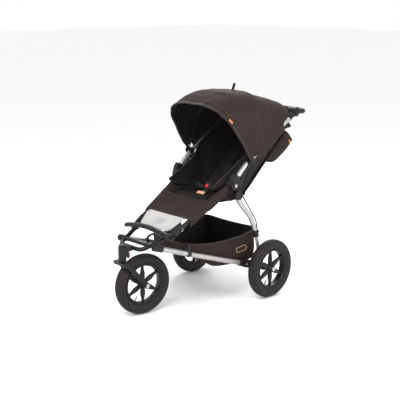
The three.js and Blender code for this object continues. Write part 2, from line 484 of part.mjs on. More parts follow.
// ---- seat base: leg panel and seat, hung between two sleeves on the seat tubes
const seatX = (y) => SEAT_TUBE_FRONT_X
  + ((y - FRONT_PIVOT[0]) / (HINGE[0] - FRONT_PIVOT[0])) * (SEAT_TUBE_REAR_X - SEAT_TUBE_FRONT_X);
const LEG_PANEL_LOW = [-452, 474], KNEE = [-335, 536], SEAT_BACK = [-112, 506];
const SEAT_THICK = 20;
const slab = ([y0, z0], h0, [y1, z1], h1, thick) => hull([[y0, z0, h0], [y1, z1, h1]].flatMap(([y, z, h]) =>
  [1, -1].flatMap((s) => [[s * h, y, z], [s * h, y, z - thick]])));
const sleeves = [1, -1].map((s) => rod(mirrored([mix(seatFront, seatRear, SLEEVE[0] + 0.01)], s)[0],
  mirrored([mix(seatFront, seatRear, SLEEVE[1])], s)[0], SEAT_TUBE_R + 4, 14));
add('seat_base', cut(join(
  slab(LEG_PANEL_LOW, seatX(LEG_PANEL_LOW[0]) - 6, KNEE, seatX(KNEE[0]) - 6, SEAT_THICK),
  slab(KNEE, 150, SEAT_BACK, 150, SEAT_THICK), sleeves,
), [1, -1].map((s) => rod(mirrored([mix(seatFront, seatRear, 0.05)], s)[0], mirrored([mix(seatFront,
    seatRear, 0.93)], s)[0], SEAT_TUBE_R + 0.4, 14))),
FABRIC, 0.9);

// ---- backrest with its side wings, rear pouch
const backDir = [Math.cos(rad(BACK_DEG)), Math.sin(rad(BACK_DEG))];
const backAt = (along, off) => [BACK_FOOT[0] + backDir[0] * along + backDir[1] * off,
    BACK_FOOT[1] + backDir[1] * along - backDir[0] * off];
const wing = [[-98, 527], [-196, 566], [-250, 604], [-292, 592], [-304, 606], [-226, 642], [-132, 696],
    [-62, 742], [55, 806], [165, 862], [236, 872],
  backAt(BACK_LENGTH, 0), backAt(BACK_LENGTH, BACK_THICK), backAt(10, BACK_THICK), backAt(10, 0)];
const WING_FLARE = 30;          // the upper part of each wing leans out towards its handle tube
const flare = (s) => (p) => {
  const rise = (p[2] - BACK_FOOT[1]) * backDir[0] - (p[1] - BACK_FOOT[0]) * backDir[1];
  p[0] += s * WING_FLARE * clamp(rise / 100, 0, 1) * clamp((p[1] + 130) / 70, 0, 1);
};
add('backrest', join(
  sideProfile([backAt(10, 0), backAt(BACK_LENGTH, 0), backAt(BACK_LENGTH, BACK_THICK), backAt(10,
      BACK_THICK)], -BACK_HALF - 2, BACK_HALF + 2),
  [1, -1].map((s) => sideProfile(wing, s * BACK_HALF, s * (BACK_HALF + 13)).warp(flare(s))),
), FABRIC, 0.9);
const pouchOuter = [backAt(488, BACK_THICK + 1), backAt(488, 124), backAt(310, 92), backAt(282,
    BACK_THICK + 1)];
const pouchInner = [backAt(492, BACK_THICK + 5), backAt(492, 120), backAt(313, 88), backAt(290,
    BACK_THICK + 5)];
add('pouch', cut(sideProfile(pouchOuter, -138, 138), sideProfile(pouchInner, -134, 134)), FABRIC, 0.9);

// ---- harness: crotch strap, buckle with its button, shoulder straps
const lap = [1, -1].map((s) => webbing([[[s * (BACK_HALF - 1), -118, 556], [0, -0.3, 1]], [[s * 90, -136,
    545], [0, -0.5, 1]],
  [[s * 26, -158, 552], [0, -0.6, 1]], [[0, -160, 552], [0, -0.6, 1]]], 25, 2, [0, 0.9, 0.45]));
const crotch = webbing([[[0, -212, 520.6], [0, -0.2, 1]], [[0, -190, 524], [0, -0.8, 1]], [[0, -170,
    542], [0, -1, 0.4]],
  [[0, -154, 558], [0, -1, 0.4]]], 30, 2);
const BUCKLE = [-168, 568];
const buckleTurn = (m) => m.rotate([-28, 0, 0]).translate([0, BUCKLE[0], BUCKLE[1]]);
const box = (w, d, h) => solid(new THREE.BoxGeometry(w, d, h));
const cornerCut = (w, d, h, c) => hull([-1, 1].flatMap((i) => [-1, 1].flatMap((j) => [-1,
    1].flatMap((k) => [
  [i * (w / 2 - c), j * (d / 2), k * (h / 2 - c)], [i * (w / 2), j * (d / 2 - c / 2), k * (h / 2 - c)],
      [i * (w / 2 - c), j * (d / 2 - c / 2), k * (h / 2)]]))));
add('lap_harness', cut(join(crotch, lap), buckleTurn(cornerCut(49, 19, 45, 5))), BLACK, 0.8);
add('buckle', buckleTurn(cut(cornerCut(48, 18, 44, 5), box(19, 13, 19).translate([0, -7.5, 0]))), BLACK,
    0.4);
add('buckle_button', buckleTurn(box(18, 8, 18).translate([0, -8.5, 0])), RED, 0.4);
for (const [side, s] of [['left', 1], ['right', -1]]) {
  const lift = (along, off) => { const p = backAt(along, -off); return [p[0], p[1]]; };
  const stations = [[120, 6, 44], [180, 4, 50], [330, 1, 52], [400, 1, 52]].map(([along, off,
      x]) => [[s * x, ...lift(along, off)], [0, -backDir[1], backDir[0]]]);
  add(`shoulder_strap_${side}`, webbing(stations, 38, 7), BLACK, 0.8);
}

// ---- canopy: two bows and one shell of fabric with a tab on top
const bowPoint = (deg, reach, half, t, inset = 0) => {
  // t runs from 0 at the left foot through 0.5 at the crown to 1 at the right foot
  const a = Math.PI * t;
  const n = 3.4;
  const c = Math.cos(a), q = Math.sin(a);
  const x = Math.sign(c) * Math.abs(c) ** (2 / n) * (half - inset);
  const r = Math.abs(q) ** (2 / n) * (reach - inset);
  return [x, CANOPY_PIVOT[0] + Math.cos(rad(deg)) * r, CANOPY_PIVOT[1] + Math.sin(rad(deg)) * r];
};
const arch = (deg, reach, half, inset, count = 18) => Array.from(
  { length: count + 1 }, (_, i) => bowPoint(deg, reach, half, i / count, inset));
const hoodReach = (t) => CROWN_REACH
  + (FRONT_BOW_REACH + (MID_BOW_REACH - FRONT_BOW_REACH) * t - CROWN_REACH) * (2 * t - 1) ** 2;
const canopyBlock = (inset, drop) => hull([
  ...(drop ? arch(FRONT_BOW_DEG + 5, FRONT_BOW_REACH + 3, CANOPY_HALF, inset) : []),
  ...Array.from({ length: 7 }, (_, i) => i / 6).flatMap((t) => arch(
    FRONT_BOW_DEG + (MID_BOW_DEG - FRONT_BOW_DEG) * t, hoodReach(t), CANOPY_HALF, inset)),
  ...[1, -1].flatMap((s) => [
    [s * (CANOPY_HALF - inset), CANOPY_PIVOT[0] - 14, CANOPY_PIVOT[1] - 16 - drop],
    [s * (CANOPY_HALF - inset), 160 - inset, 846 - drop],
    [s * (CANOPY_HALF - 4 - inset), 178 - inset, 890 - inset / 2],
    [s * (206 - inset), 214 - inset, 938 - inset],
    [s * (140 - inset), 258 - inset, 962 - inset],
    [s * (60 - inset), 266 - inset, 968 - inset],
    [s * (150 - inset), 100, 1036 - inset],
    [s * (150 - inset), 272 - inset, 888 - drop],
  ]),
]);
const tubeClear = [1, -1].flatMap((s) => [
  rod([s * HANDLE_X, ...handleAt(-10)], [s * HANDLE_X, ...handleAt(handleLength + 10)],
      HANDLE_TUBE_R + 4.2, 14),
  pinX(27, s * (ROTOR_IN - 2), s * (HANDLE_X + 16), HUB, 16)]);
// everything under a line just below the handle tubes is cut away, so the shell hangs to there
const underLine = sideProfile([handleAt(-150, -19), handleAt(600, -19), handleAt(600, -500),
    handleAt(-150, -500)], -400, 400);
const frontOpen = hull([-1, 1].flatMap((s) => [0, 1].flatMap((k) => {
  const a = rad(FRONT_BOW_DEG + 0.5 + 40 * k);
  const c = [CANOPY_PIVOT[0], CANOPY_PIVOT[1] - 30];
  return [[s * 300, c[0], c[1]], [s * 300, c[0] + Math.cos(a) * 700, c[1] + Math.sin(a) * 700]];
})));
const tab = sideProfile([[6, 1051], [13, 1088], [21, 1090], [27, 1049]], -6, 6);
add('canopy_fabric', join(
  cut(canopyBlock(0, 0), canopyBlock(CANOPY_WALL, 40), frontOpen, underLine, tubeClear), tab,
), FABRIC, 0.9);
const BOW_R = 3.6;
const BOW_INSET = CANOPY_WALL + BOW_R + CANOPY_HALF / 147.5;   // a wider hood has deeper facets
for (const [name, deg, reach, stack] of [['canopy_front_bow', FRONT_BOW_DEG - 3.2, FRONT_BOW_REACH - 2,
    0], ['canopy_mid_bow', MID_BOW_DEG, MID_BOW_REACH, 1]]) {
  const points = arch(deg, reach, CANOPY_HALF, BOW_INSET, 24).slice(1, -1).map((p) => V(...p));
  const foot = (s) => V(s * (CANOPY_HALF - BOW_INSET), CANOPY_PIVOT[0] + Math.cos(rad(deg)) * 12,
      CANOPY_PIVOT[1] + Math.sin(rad(deg)) * 12);
  const curve = new THREE.CatmullRomCurve3([foot(1), ...points, foot(-1)], false, 'centripetal');
  const ring = Array.from({ length: 6 }, (_, i) => new THREE.Vector2(BOW_R * Math.cos((i * Math.PI) / 3),
      BOW_R * Math.sin((i * Math.PI) / 3)));
  const bow = solid(new THREE.ExtrudeGeometry(new THREE.Shape(ring), { steps: 28, bevelEnabled: false,
      extrudePath: curve }));
  const discs = [1, -1].map((s) => pinX(10, s * (HANDLE_X + 14.2 + stack * 3.9),
      s * (HANDLE_X + 17.7 + stack * 3.9), CANOPY_PIVOT, 14));
  const hub = [1, -1].map((s) => hull([[-5, 6], [5, 6], [-5, 16], [5, 16]].flatMap(([w,
      d]) => [HANDLE_X + 14.2 + stack * 3.9, HANDLE_X + 17.7 + stack * 3.9].map((x) =>
    [s * x, CANOPY_PIVOT[0] + Math.cos(rad(deg)) * d - Math.sin(rad(deg)) * w,
        CANOPY_PIVOT[1] + Math.sin(rad(deg)) * d + Math.cos(rad(deg)) * w]))));
  add(name, join(bow, discs, hub).subtract(join([1, -1].map((s) => pinX(13, s * (HANDLE_X - 20),
      s * (HANDLE_X + 14.1 + stack * 4.1), CANOPY_PIVOT, 14)))), BLACK, 0.5);
}

// ---- basket: an open tray hung between the side tubes and the rear legs
const sideX = (y) => SIDE_FRONT[0]
  + ((y - SIDE_FRONT[1]) / (SIDE_REAR[1] - SIDE_FRONT[1])) * (SIDE_REAR[0] - SIDE_FRONT[0]);
const basketX = (y) => Math.min(sideX(y) - SIDE_TUBE_R - 3, 198);
const basketBlock = (w, up) => hull([-1, 1].flatMap((s) => [
  [s * (basketX(-452) - w - 12), -452 + w, 338 + up], [s * (basketX(-430) - w), -430 + w, 338 + up],
  [s * (basketX(-112) - w), -112, 338 + up], [s * (198 - w), -8 - w, 348 + up],
  [s * (188 - w), 4 - w, 350 + up],
  [s * (118 - w), -440 + w, 286 + w], [s * (basketX(-380) - 14 - w), -380 + w, 246 + w],
  [s * (140 - w), -300, 196 + w], [s * (160 - w), -60 - w, 184 + w], [s * (178 - w), -40 - w, 206 + w],
  [s * (100 - w), -240, 184 + w], [s * (100 - w), -70, 179 + w]]));
add('basket', cut(basketBlock(0, 0), basketBlock(BASKET_WALL, 12)), FABRIC, 0.9);

// ---------------------------------------------------------------- place on the footprint and hand over
const whole = new THREE.Box3();
for (const [, body] of bodies) {
  const b = body.boundingBox();
  whole.union(new THREE.Box3(V(...b.min), V(...b.max)));
}
const shift = -(whole.min.y + whole.max.y) / 2;
for (const [name, body, color, roughness, metalness] of bodies) {
  const mesh = body.translate([0, shift, -whole.min.z]).getMesh();
  const geometry = new THREE.BufferGeometry();
  const at = new Float32Array(mesh.numVert * 3);
  for (let i = 0; i < mesh.numVert; i++) {
    for (let k = 0; k < 3; k++) at[3 * i + k] = mesh.vertProperties[mesh.numProp * i + k];
  }
  geometry.setAttribute('position', new THREE.BufferAttribute(at, 3));
  geometry.setIndex(new THREE.BufferAttribute(new Uint32Array(mesh.triVerts), 1));
  geometry.computeVertexNormals();
  const part = new THREE.Mesh(geometry, new THREE.MeshStandardMaterial({ color, roughness, metalness }));
  part.name = name;
  group.add(part);
}
group.userData.shiftY = shift;
export default group;
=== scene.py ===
"""Looks of a folding stroller: wheels, tubes, hood, seat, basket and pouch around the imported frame.

Lengths are metres. Places along Y are written from the rear axle, as P(x, y, z), because that is
where the frame is measured from; left is +X and the front is -Y.
"""
import json
import math

import bmesh
import bpy
import numpy as np
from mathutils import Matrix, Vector, noise


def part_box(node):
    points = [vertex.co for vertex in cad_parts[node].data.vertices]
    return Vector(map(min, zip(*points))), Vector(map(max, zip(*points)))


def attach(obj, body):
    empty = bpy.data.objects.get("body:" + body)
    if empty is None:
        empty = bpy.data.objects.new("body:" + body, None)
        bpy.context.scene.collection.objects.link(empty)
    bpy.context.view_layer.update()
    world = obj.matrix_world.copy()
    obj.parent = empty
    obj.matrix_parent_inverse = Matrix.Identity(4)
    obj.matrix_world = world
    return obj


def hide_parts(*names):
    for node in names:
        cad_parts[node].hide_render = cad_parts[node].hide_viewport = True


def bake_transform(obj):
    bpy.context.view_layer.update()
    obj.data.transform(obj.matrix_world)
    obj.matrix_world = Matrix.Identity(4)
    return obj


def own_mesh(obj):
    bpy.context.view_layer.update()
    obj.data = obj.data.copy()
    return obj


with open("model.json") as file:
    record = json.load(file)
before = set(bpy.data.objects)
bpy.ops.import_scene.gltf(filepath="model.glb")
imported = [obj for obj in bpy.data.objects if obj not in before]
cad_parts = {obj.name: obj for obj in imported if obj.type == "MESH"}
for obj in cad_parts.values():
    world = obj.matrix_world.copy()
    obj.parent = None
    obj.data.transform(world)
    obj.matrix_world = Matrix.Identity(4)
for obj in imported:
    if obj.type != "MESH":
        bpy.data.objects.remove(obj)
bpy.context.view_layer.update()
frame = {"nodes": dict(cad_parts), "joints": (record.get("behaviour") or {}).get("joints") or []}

AXLE_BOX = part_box("axle_tube")
AXLE_Y = (AXLE_BOX[0].y + AXLE_BOX[1].y) / 2
AXLE_Z = (AXLE_BOX[0].z + AXLE_BOX[1].z) / 2
SIDES = (("left", 1), ("right", -1))
PIVOT = (-0.090, 0.722)         # canopy pivot (y, z)
HINGE = (-0.195, 0.610)
FRONT_PIVOT = (-0.553, 0.400)
BACK_FOOT = (-0.092, 0.515)
BACK_DEG = 42.5
SKIN = 0.0016                   # thickness of the fabric


def P(x, y, z):
    return Vector((x, y + AXLE_Y, z))


# ------------------------------------------------------------------ materials
MATERIALS = {}


def new_material(name, color, rough, metal=0.0, **sockets):
    m = MATERIALS[name] = bpy.data.materials.new(name)
    m.use_nodes = True
    shader = m.node_tree.nodes["Principled BSDF"]
    shader.inputs["Base Color"].default_value = (*color, 1)
    shader.inputs["Roughness"].default_value = rough
    shader.inputs["Metallic"].default_value = metal
    if max(color) < 0.05:
        shader.inputs["Specular IOR Level"].default_value = 0.24
    for key, value in sockets.items():
        shader.inputs[key.replace("_", " ")].default_value = value
    return m.node_tree, shader


def node(tree, kind, **values):
    n = tree.nodes.new(kind)
    for key, value in values.items():
        if hasattr(n, key):
            setattr(n, key, value)
        else:
            n.inputs[key.replace("_", " ")].default_value = value
    return n


def texture(tree, coords, kind, **values):
    n = node(tree, kind, **values)
    tree.links.new(coords, n.inputs["Vector"])
    return n


def uneven_gloss(tree, shader, source, low, high):
    gloss = node(tree, "ShaderNodeMapRange")
    gloss.inputs["To Min"].default_value = low
    gloss.inputs["To Max"].default_value = high
    tree.links.new(source, gloss.inputs["Value"])
    tree.links.new(gloss.outputs["Result"], shader.inputs["Roughness"])


def object_coords(tree):
    return node(tree, "ShaderNodeTexCoord").outputs["Object"]


def ramp(tree, source, stops):
    r = node(tree, "ShaderNodeValToRGB")
    r.color_ramp.elements[0].position, r.color_ramp.elements[-1].position = stops[0][0], stops[-1][0]
    r.color_ramp.elements[0].color = (*stops[0][1], 1)
    r.color_ramp.elements[-1].color = (*stops[-1][1], 1)
    for place, color in stops[1:-1]:
        r.color_ramp.elements.new(place).color = (*color, 1)
    tree.links.new(source, r.inputs["Fac"])
    return r.outputs["Color"]


def mixed(color, factor):
    return tuple(min(1, c * factor) for c in color)


def bump(tree, shader, height, strength, distance, after=None):
    b = node(tree, "ShaderNodeBump", Strength=strength, Distance=distance)
    tree.links.new(height, b.inputs["Height"])
    if after is not None:
        tree.links.new(after, b.inputs["Normal"])
    tree.links.new(b.outputs["Normal"], shader.inputs["Normal"])
    return b.outputs["Normal"]


def math_node(tree, operation, a, b):
    m = node(tree, "ShaderNodeMath", operation=operation)
    for slot, value in zip(m.inputs, (a, b)):
        if isinstance(value, (int, float)):
            slot.default_value = value
        else:
            tree.links.new(value, slot)
    return m.outputs[0]


def cloth_material(name, color, thread=0.0011, sheen=0.10, rough=0.86, depth=0.35, variation=0.22):
    """A plain weave: two crossed sets of threads, with slow changes of shade and faint creasing."""
    tree, shader = new_material(name, color, rough)
    shader.inputs["Sheen Weight"].default_value = sheen
    shader.inputs["Sheen Roughness"].default_value = 0.45
    shader.inputs["Sheen Tint"].default_value = (*mixed(color, 4.5), 1)
    coords = object_coords(tree)
    height = None
    for turn in ((0, 0.6, 0.25), (0, 0.6, 1.82)):
        place = node(tree, "ShaderNodeMapping")
        place.inputs["Rotation"].default_value = turn
        tree.links.new(coords, place.inputs["Vector"])
        thread_wave = node(tree, "ShaderNodeTexWave", Scale=1 / thread / 6.28, Distortion=0.8, Detail=1.0)
        tree.links.new(place.outputs[0], thread_wave.inputs["Vector"])
        wave = thread_wave.outputs["Fac"]
        height = wave if height is None else math_node(tree, "MAXIMUM", height, wave)
    slow = texture(tree, coords, "ShaderNodeTexNoise", Scale=9.0, Detail=5.0, Roughness=0.62)
    fine = texture(tree, coords, "ShaderNodeTexNoise", Scale=420.0, Detail=2.0)
    shade = math_node(tree, "ADD", math_node(tree, "MULTIPLY", slow.outputs["Fac"], 0.7),
            math_node(tree, "MULTIPLY", fine.outputs["Fac"], 0.3))
    shade = math_node(tree, "SUBTRACT", shade, math_node(tree, "MULTIPLY", height, 0.06))
    tree.links.new(ramp(tree, shade, [(0.30, mixed(color, 1 - variation)), (0.48, color),
            (0.66, mixed(color, 1 + variation))]), shader.inputs["Base Color"])
    first = bump(tree, shader, height, depth, 0.0004)
    crease = texture(tree, coords, "ShaderNodeTexNoise", Scale=38.0, Detail=4.0, Roughness=0.55,
            Distortion=0.6)
    bump(tree, shader, crease.outputs["Fac"], 0.22, 0.004, first)


def webbing_material(name, color):
    """Seat belt webbing: fine ribs along the strap."""
    tree, shader = new_material(name, color, 0.62)
    shader.inputs["Sheen Weight"].default_value = 0.12
    coords = object_coords(tree)
    ribs = texture(tree, coords, "ShaderNodeTexWave", Scale=150.0, Distortion=0.3)
    cross = texture(tree, coords, "ShaderNodeTexNoise", Scale=900.0, Detail=2.0)
    height = math_node(tree, "ADD", ribs.outputs["Fac"], cross.outputs["Fac"])
    tree.links.new(ramp(tree, cross.outputs["Fac"], [(0.3, mixed(color, 0.75)), (0.7, mixed(color, 1.3))]),
            shader.inputs["Base Color"])
    bump(tree, shader, height, 0.4, 0.0004)


def moulded_material(name, color, rough=0.45, grain=0.25, scale=900.0, wear=1.5):
    """Moulded plastic or sprayed paint: fine grain, uneven gloss, paler scuffed edges, and painted shade
    that darkens its hollows.
    """
    tree, shader = new_material(name, color, rough)
    coords = object_coords(tree)
    grit = texture(tree, coords, "ShaderNodeTexNoise", Scale=scale, Detail=3.0, Roughness=0.6)
    slow = texture(tree, coords, "ShaderNodeTexNoise", Scale=14.0, Detail=6.0, Roughness=0.65)
    edges = node(tree, "ShaderNodeNewGeometry").outputs["Pointiness"]
    # Pointiness under 0.5 darkens hollows and the joins between parts, which is painted shade. Pointiness
    # over 0.5 makes edges paler, which is scuffed wear.
    scuffed_edges_and_hollow_shade = math_node(tree, "MULTIPLY", math_node(tree, "SUBTRACT", edges, 0.5), 1.6)
    shade = math_node(tree, "ADD", slow.outputs["Fac"], scuffed_edges_and_hollow_shade)
    tree.links.new(ramp(tree, shade,
            [(0.32, mixed(color, 0.82)), (0.55, color), (0.8, mixed(color, wear))]),
            shader.inputs["Base Color"])
    uneven_gloss(tree, shader, slow.outputs["Fac"], max(0.05, rough - 0.10), min(1.0, rough + 0.12))
    bump(tree, shader, grit.outputs["Fac"], grain, 0.0003)


def metal_material(name, color, rough=0.28, stretch=(40, 600, 600)):
    """Brushed and anodised tube: streaks along the tube and small changes of gloss."""
    tree, shader = new_material(name, color, rough, 0.85)
    shader.inputs["Coat Weight"].default_value = 0.15
    shader.inputs["Coat Roughness"].default_value = 0.2
    coords = object_coords(tree)
    place = node(tree, "ShaderNodeMapping")
    place.inputs["Scale"].default_value = stretch
    tree.links.new(coords, place.inputs["Vector"])
    streaks = node(tree, "ShaderNodeTexNoise", Scale=1.0, Detail=4.0, Roughness=0.7)
    tree.links.new(place.outputs[0], streaks.inputs["Vector"])
    smudge = texture(tree, coords, "ShaderNodeTexNoise", Scale=18.0, Detail=5.0)
    tree.links.new(ramp(tree, smudge.outputs["Fac"], [(0.3, mixed(color, 0.9)), (0.7, mixed(color, 1.06))]),
            shader.inputs["Base Color"])
    uneven_gloss(tree, shader, streaks.outputs["Fac"], rough - 0.08, rough + 0.12)
    bump(tree, shader, streaks.outputs["Fac"], 0.06, 0.0002)


def rubber_material(name, color, rough=0.62):
    """Tyre rubber: fine moulded grain with a dusty bloom in patches."""
    tree, shader = new_material(name, color, rough)
    coords = object_coords(tree)
    bloom = texture(tree, coords, "ShaderNodeTexNoise", Scale=22.0, Detail=7.0, Roughness=0.7)
    grit = texture(tree, coords, "ShaderNodeTexVoronoi", Scale=700.0)
    tree.links.new(ramp(tree, bloom.outputs["Fac"], [(0.35, mixed(color, 0.8)), (0.5, color),
            (0.72, mixed(color, 1.45))]), shader.inputs["Base Color"])
    uneven_gloss(tree, shader, bloom.outputs["Fac"], rough - 0.12, rough + 0.15)
    bump(tree, shader, grit.outputs["Distance"], 0.2, 0.0004)


BROWN = (0.0235, 0.0155, 0.0130)
cloth_material("hood_fabric", BROWN)
cloth_material("panel_fabric", mixed(BROWN, 0.92), thread=0.0014, sheen=0.09)
cloth_material("lining", (0.010, 0.009, 0.008), sheen=0.05, variation=0.15)
cloth_material("seat_lining", (0.0105, 0.0090, 0.0078), sheen=0.07, depth=0.5)
cloth_material("mesh_fabric", (0.0095, 0.0085, 0.0078), thread=0.0022, sheen=0.06,
        depth=0.8)
webbing_material("binding", (0.015, 0.0105, 0.009))
webbing_material("webbing", (0.012, 0.011, 0.011))
webbing_material("thread", (0.085, 0.066, 0.054))
webbing_material("tag", (0.60, 0.20, 0.06))
webbing_material("emblem", (0.42, 0.28, 0.15))
webbing_material("label", (0.72, 0.42, 0.28))
metal_material("silver", (0.43, 0.425, 0.42), rough=0.34)
metal_material("steel", (0.46, 0.46, 0.47), rough=0.26)
moulded_material("black_paint", (0.007, 0.007, 0.007), rough=0.30, grain=0.12, wear=1.9)
moulded_material("black_plastic", (0.008, 0.0075, 0.0075), rough=0.42, wear=1.8)
moulded_material("rim_plastic", (0.008, 0.0075, 0.0075), rough=0.38, wear=1.8)
moulded_material("plate_plastic", (0.44, 0.43, 0.42), rough=0.42, grain=0.35,
        scale=500.0, wear=1.08)
moulded_material("plate_mark", (0.24, 0.235, 0.23), rough=0.5, wear=1.1)
moulded_material("white_plastic", (0.78, 0.77, 0.75), rough=0.4, wear=1.05)
moulded_material("red_plastic", (0.62, 0.015, 0.010), rough=0.28, grain=0.1, wear=1.3)
moulded_material("knob_plastic", (0.085, 0.020, 0.014), rough=0.4, wear=1.6)
rubber_material("tyre_rubber", (0.013, 0.0110, 0.0098))
rubber_material("grip_foam", (0.011, 0.010, 0.010), rough=0.8)


# ------------------------------------------------------------------ mesh helpers
def mesh_object(name, verts, faces, material, smooth=True):
    data = bpy.data.meshes.new(name)
    data.from_pydata([tuple(v) for v in verts], [], faces)
    data.validate()
    obj = bpy.data.objects.new(name, data)
    bpy.context.scene.collection.objects.link(obj)
    for m in material if isinstance(material, (list, tuple)) else [material]:
        data.materials.append(MATERIALS[m])
    if smooth:
        data.polygons.foreach_set("use_smooth", [True] * len(data.polygons))
    return obj


def apply_modifiers(obj):
    bpy.context.view_layer.update()
    evaluated = obj.evaluated_get(bpy.context.evaluated_depsgraph_get())
    baked = bpy.data.meshes.new_from_object(evaluated)
    obj.modifiers.clear()
    obj.data = baked
    return obj


def with_modifier(obj, kind, **values):
    m = obj.modifiers.new(kind.lower(), kind)
    for key, value in values.items():
        setattr(m, key, value)
    return obj


def across_axis(axis):
    side = axis.cross(Vector((0, 0, 1))).normalized()
    return side, side.cross(axis)


def refined(obj):
    with_modifier(obj, "SUBSURF", levels=1)
    return apply_modifiers(obj)


def signed_power(value, exponent):
    """Keeps the sign: it turns a circle's sine and cosine into a squarer outline."""
    return math.copysign(abs(value) ** exponent, value)


def fit(piece, body):
    """Says which CAD body a piece moves with."""
    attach(piece, body)


def edit_mesh(obj, change=None):
    """Runs change on the mesh, then turns every face outward."""
    b = bmesh.new()
    b.from_mesh(obj.data)
    if change:
        change(b)
    bmesh.ops.recalc_face_normals(b, faces=b.faces)
    b.to_mesh(obj.data)
    b.free()
    return obj


def close_bottom(count):
    """A change for edit_mesh: a face across the last row of a loft."""
    def change(b):
        b.verts.ensure_lookup_table()
        b.faces.new([b.verts[len(b.verts) - count + k] for k in range(count)])
    return change


def loft(name, rows, material, closed=False, around=False, caps=False):
    """A skin through rows of points. closed joins each row's ends, around joins last row to first."""
    count = len(rows[0])
    verts = [p for row in rows for p in row]
    faces = []
    for i in range(len(rows) - (0 if around else 1)):
        a, b = i * count, (i + 1) % len(rows) * count
        for k in range(count - (0 if closed else 1)):
            n = (k + 1) % count
            faces.append((a + k, a + n, b + n, b + k))
    if caps:
        faces.append(tuple(range(count))[::-1])
        faces.append(tuple(range(len(verts) - count, len(verts))))
    return edit_mesh(mesh_object(name, verts, faces, material))


def merged(name, parts):
    """One object out of several, with their materials kept."""
    slots = []
    b = bmesh.new()
    for part in parts:
        own = []
        for m in part.data.materials:
            if m not in slots:
                slots.append(m)
            own.append(slots.index(m))
        first = len(b.faces)
        b.from_mesh(part.data)
        b.faces.ensure_lookup_table()
        for face in b.faces[first:]:
            face.material_index = own[face.material_index] if own else 0
        bpy.data.objects.remove(part)
    data = bpy.data.meshes.new(name)
    b.to_mesh(data)
    b.free()
    for m in slots:
        data.materials.append(m)
    obj = bpy.data.objects.new(name, data)
    bpy.context.scene.collection.objects.link(obj)
    return obj


def frames_along(points, up=None):
    """Tangent, side and up at each point, carried along the path without twisting."""
    out = []
    side = None
    for i, p in enumerate(points):
        t = (points[min(i + 1, len(points) - 1)] - points[max(i - 1, 0)]).normalized()
        if up is not None:
            side = t.cross(up[i] if isinstance(up, list) else up).normalized()
        elif side is None:
            side = t.cross(Vector((0.3, 0.2, 1)) if abs(t.z) < 0.95 else Vector((1, 0, 0))).normalized()
        else:
            side = (side - t * side.dot(t)).normalized()
        out.append((t, side, side.cross(t)))
    return out


def smooth_path(points, count):
    """Catmull-Rom through the points, resampled to even spacing."""
    pts = [points[0] * 2 - points[1], *points, points[-1] * 2 - points[-2]]
    dense = []
    for i in range(1, len(pts) - 2):
        for k in range(24):
            t = k / 24
            a, b, c, d = pts[i - 1:i + 3]
            dense.append(0.5 * (2 * b + (c - a) * t + (2 * a - 5 * b + 4 * c - d) * t * t
                    + (3 * b - a - 3 * c + d) * t ** 3))
    dense.append(pts[-2])
    return evenly(dense, count)


def evenly(points, count):
    at = np.array(points, float)
    run = np.r_[0, np.cumsum(np.linalg.norm(np.diff(at, axis=0), axis=1))]
    want = np.linspace(0, run[-1], count)
    return [Vector([np.interp(w, run, at[:, k]) for k in range(3)]) for w in want]


def tube(name, points, radius, material, sides=24, closed=False, flat=1.0, up=None, ends=True):
    """A round or flattened bar along the points, with softly rounded ends."""
    rows = []
    steps = frames_along(points, up)
    radii = [radius(i / (len(points) - 1)) if callable(radius) else radius for i in range(len(points))]
    if ends and not closed:
        steps = [steps[0]] * 2 + steps + [steps[-1]] * 2
        tip = radii[0] * 0.35
        last = radii[-1] * 0.35
        t0, t1 = steps[0][0], steps[-1][0]
        points = [points[0] - t0 * tip, points[0] - t0 * tip * 0.55, *points,
                points[-1] + t1 * last * 0.55, points[-1] + t1 * last]
        radii = [radii[0] * 0.5, radii[0] * 0.86, *radii, radii[-1] * 0.86, radii[-1] * 0.5]
    for p, (t, side, rise), r in zip(points, steps, radii):
        rows.append([p + side * r * math.cos(a) + rise * r * flat * math.sin(a)
                for a in (2 * math.pi * k / sides for k in range(sides))])
    return loft(name, rows, material, closed=True, around=closed, caps=not closed)


def strap(name, points, ups, width, thick, material):
    """Flat webbing with rounded selvedges along the points; ups are its outward normals."""
    section = []
    half, r = width / 2, thick / 2
    for side in (1, -1):
        for a in np.linspace(-90, 90, 5):
            section.append((side * (half - r + r * math.cos(math.radians(a))),
                    side * r * math.sin(math.radians(a))))
    rows = []
    for p, (t, side, rise) in zip(points, frames_along(points, ups)):
        rows.append([p + side * x + rise * z for x, z in section])
    return loft(name, rows, material, closed=True, caps=True)


def lathe(name, profile, centre, axis, material, steps=72, close=True):
    """A ring or disc: profile is (distance along the axis, radius) points."""
    axis = Vector(axis).normalized()
    side, rise = across_axis(axis)
    rows = []
    for i in range(steps):
        a = 2 * math.pi * i / steps
        out = side * math.cos(a) + rise * math.sin(a)
        rows.append([centre + axis * u + out * r for u, r in profile])
    obj = loft(name, rows, material, closed=close, around=True)
    return edit_mesh(obj, lambda b: bmesh.ops.remove_doubles(b, verts=b.verts, dist=1e-6))


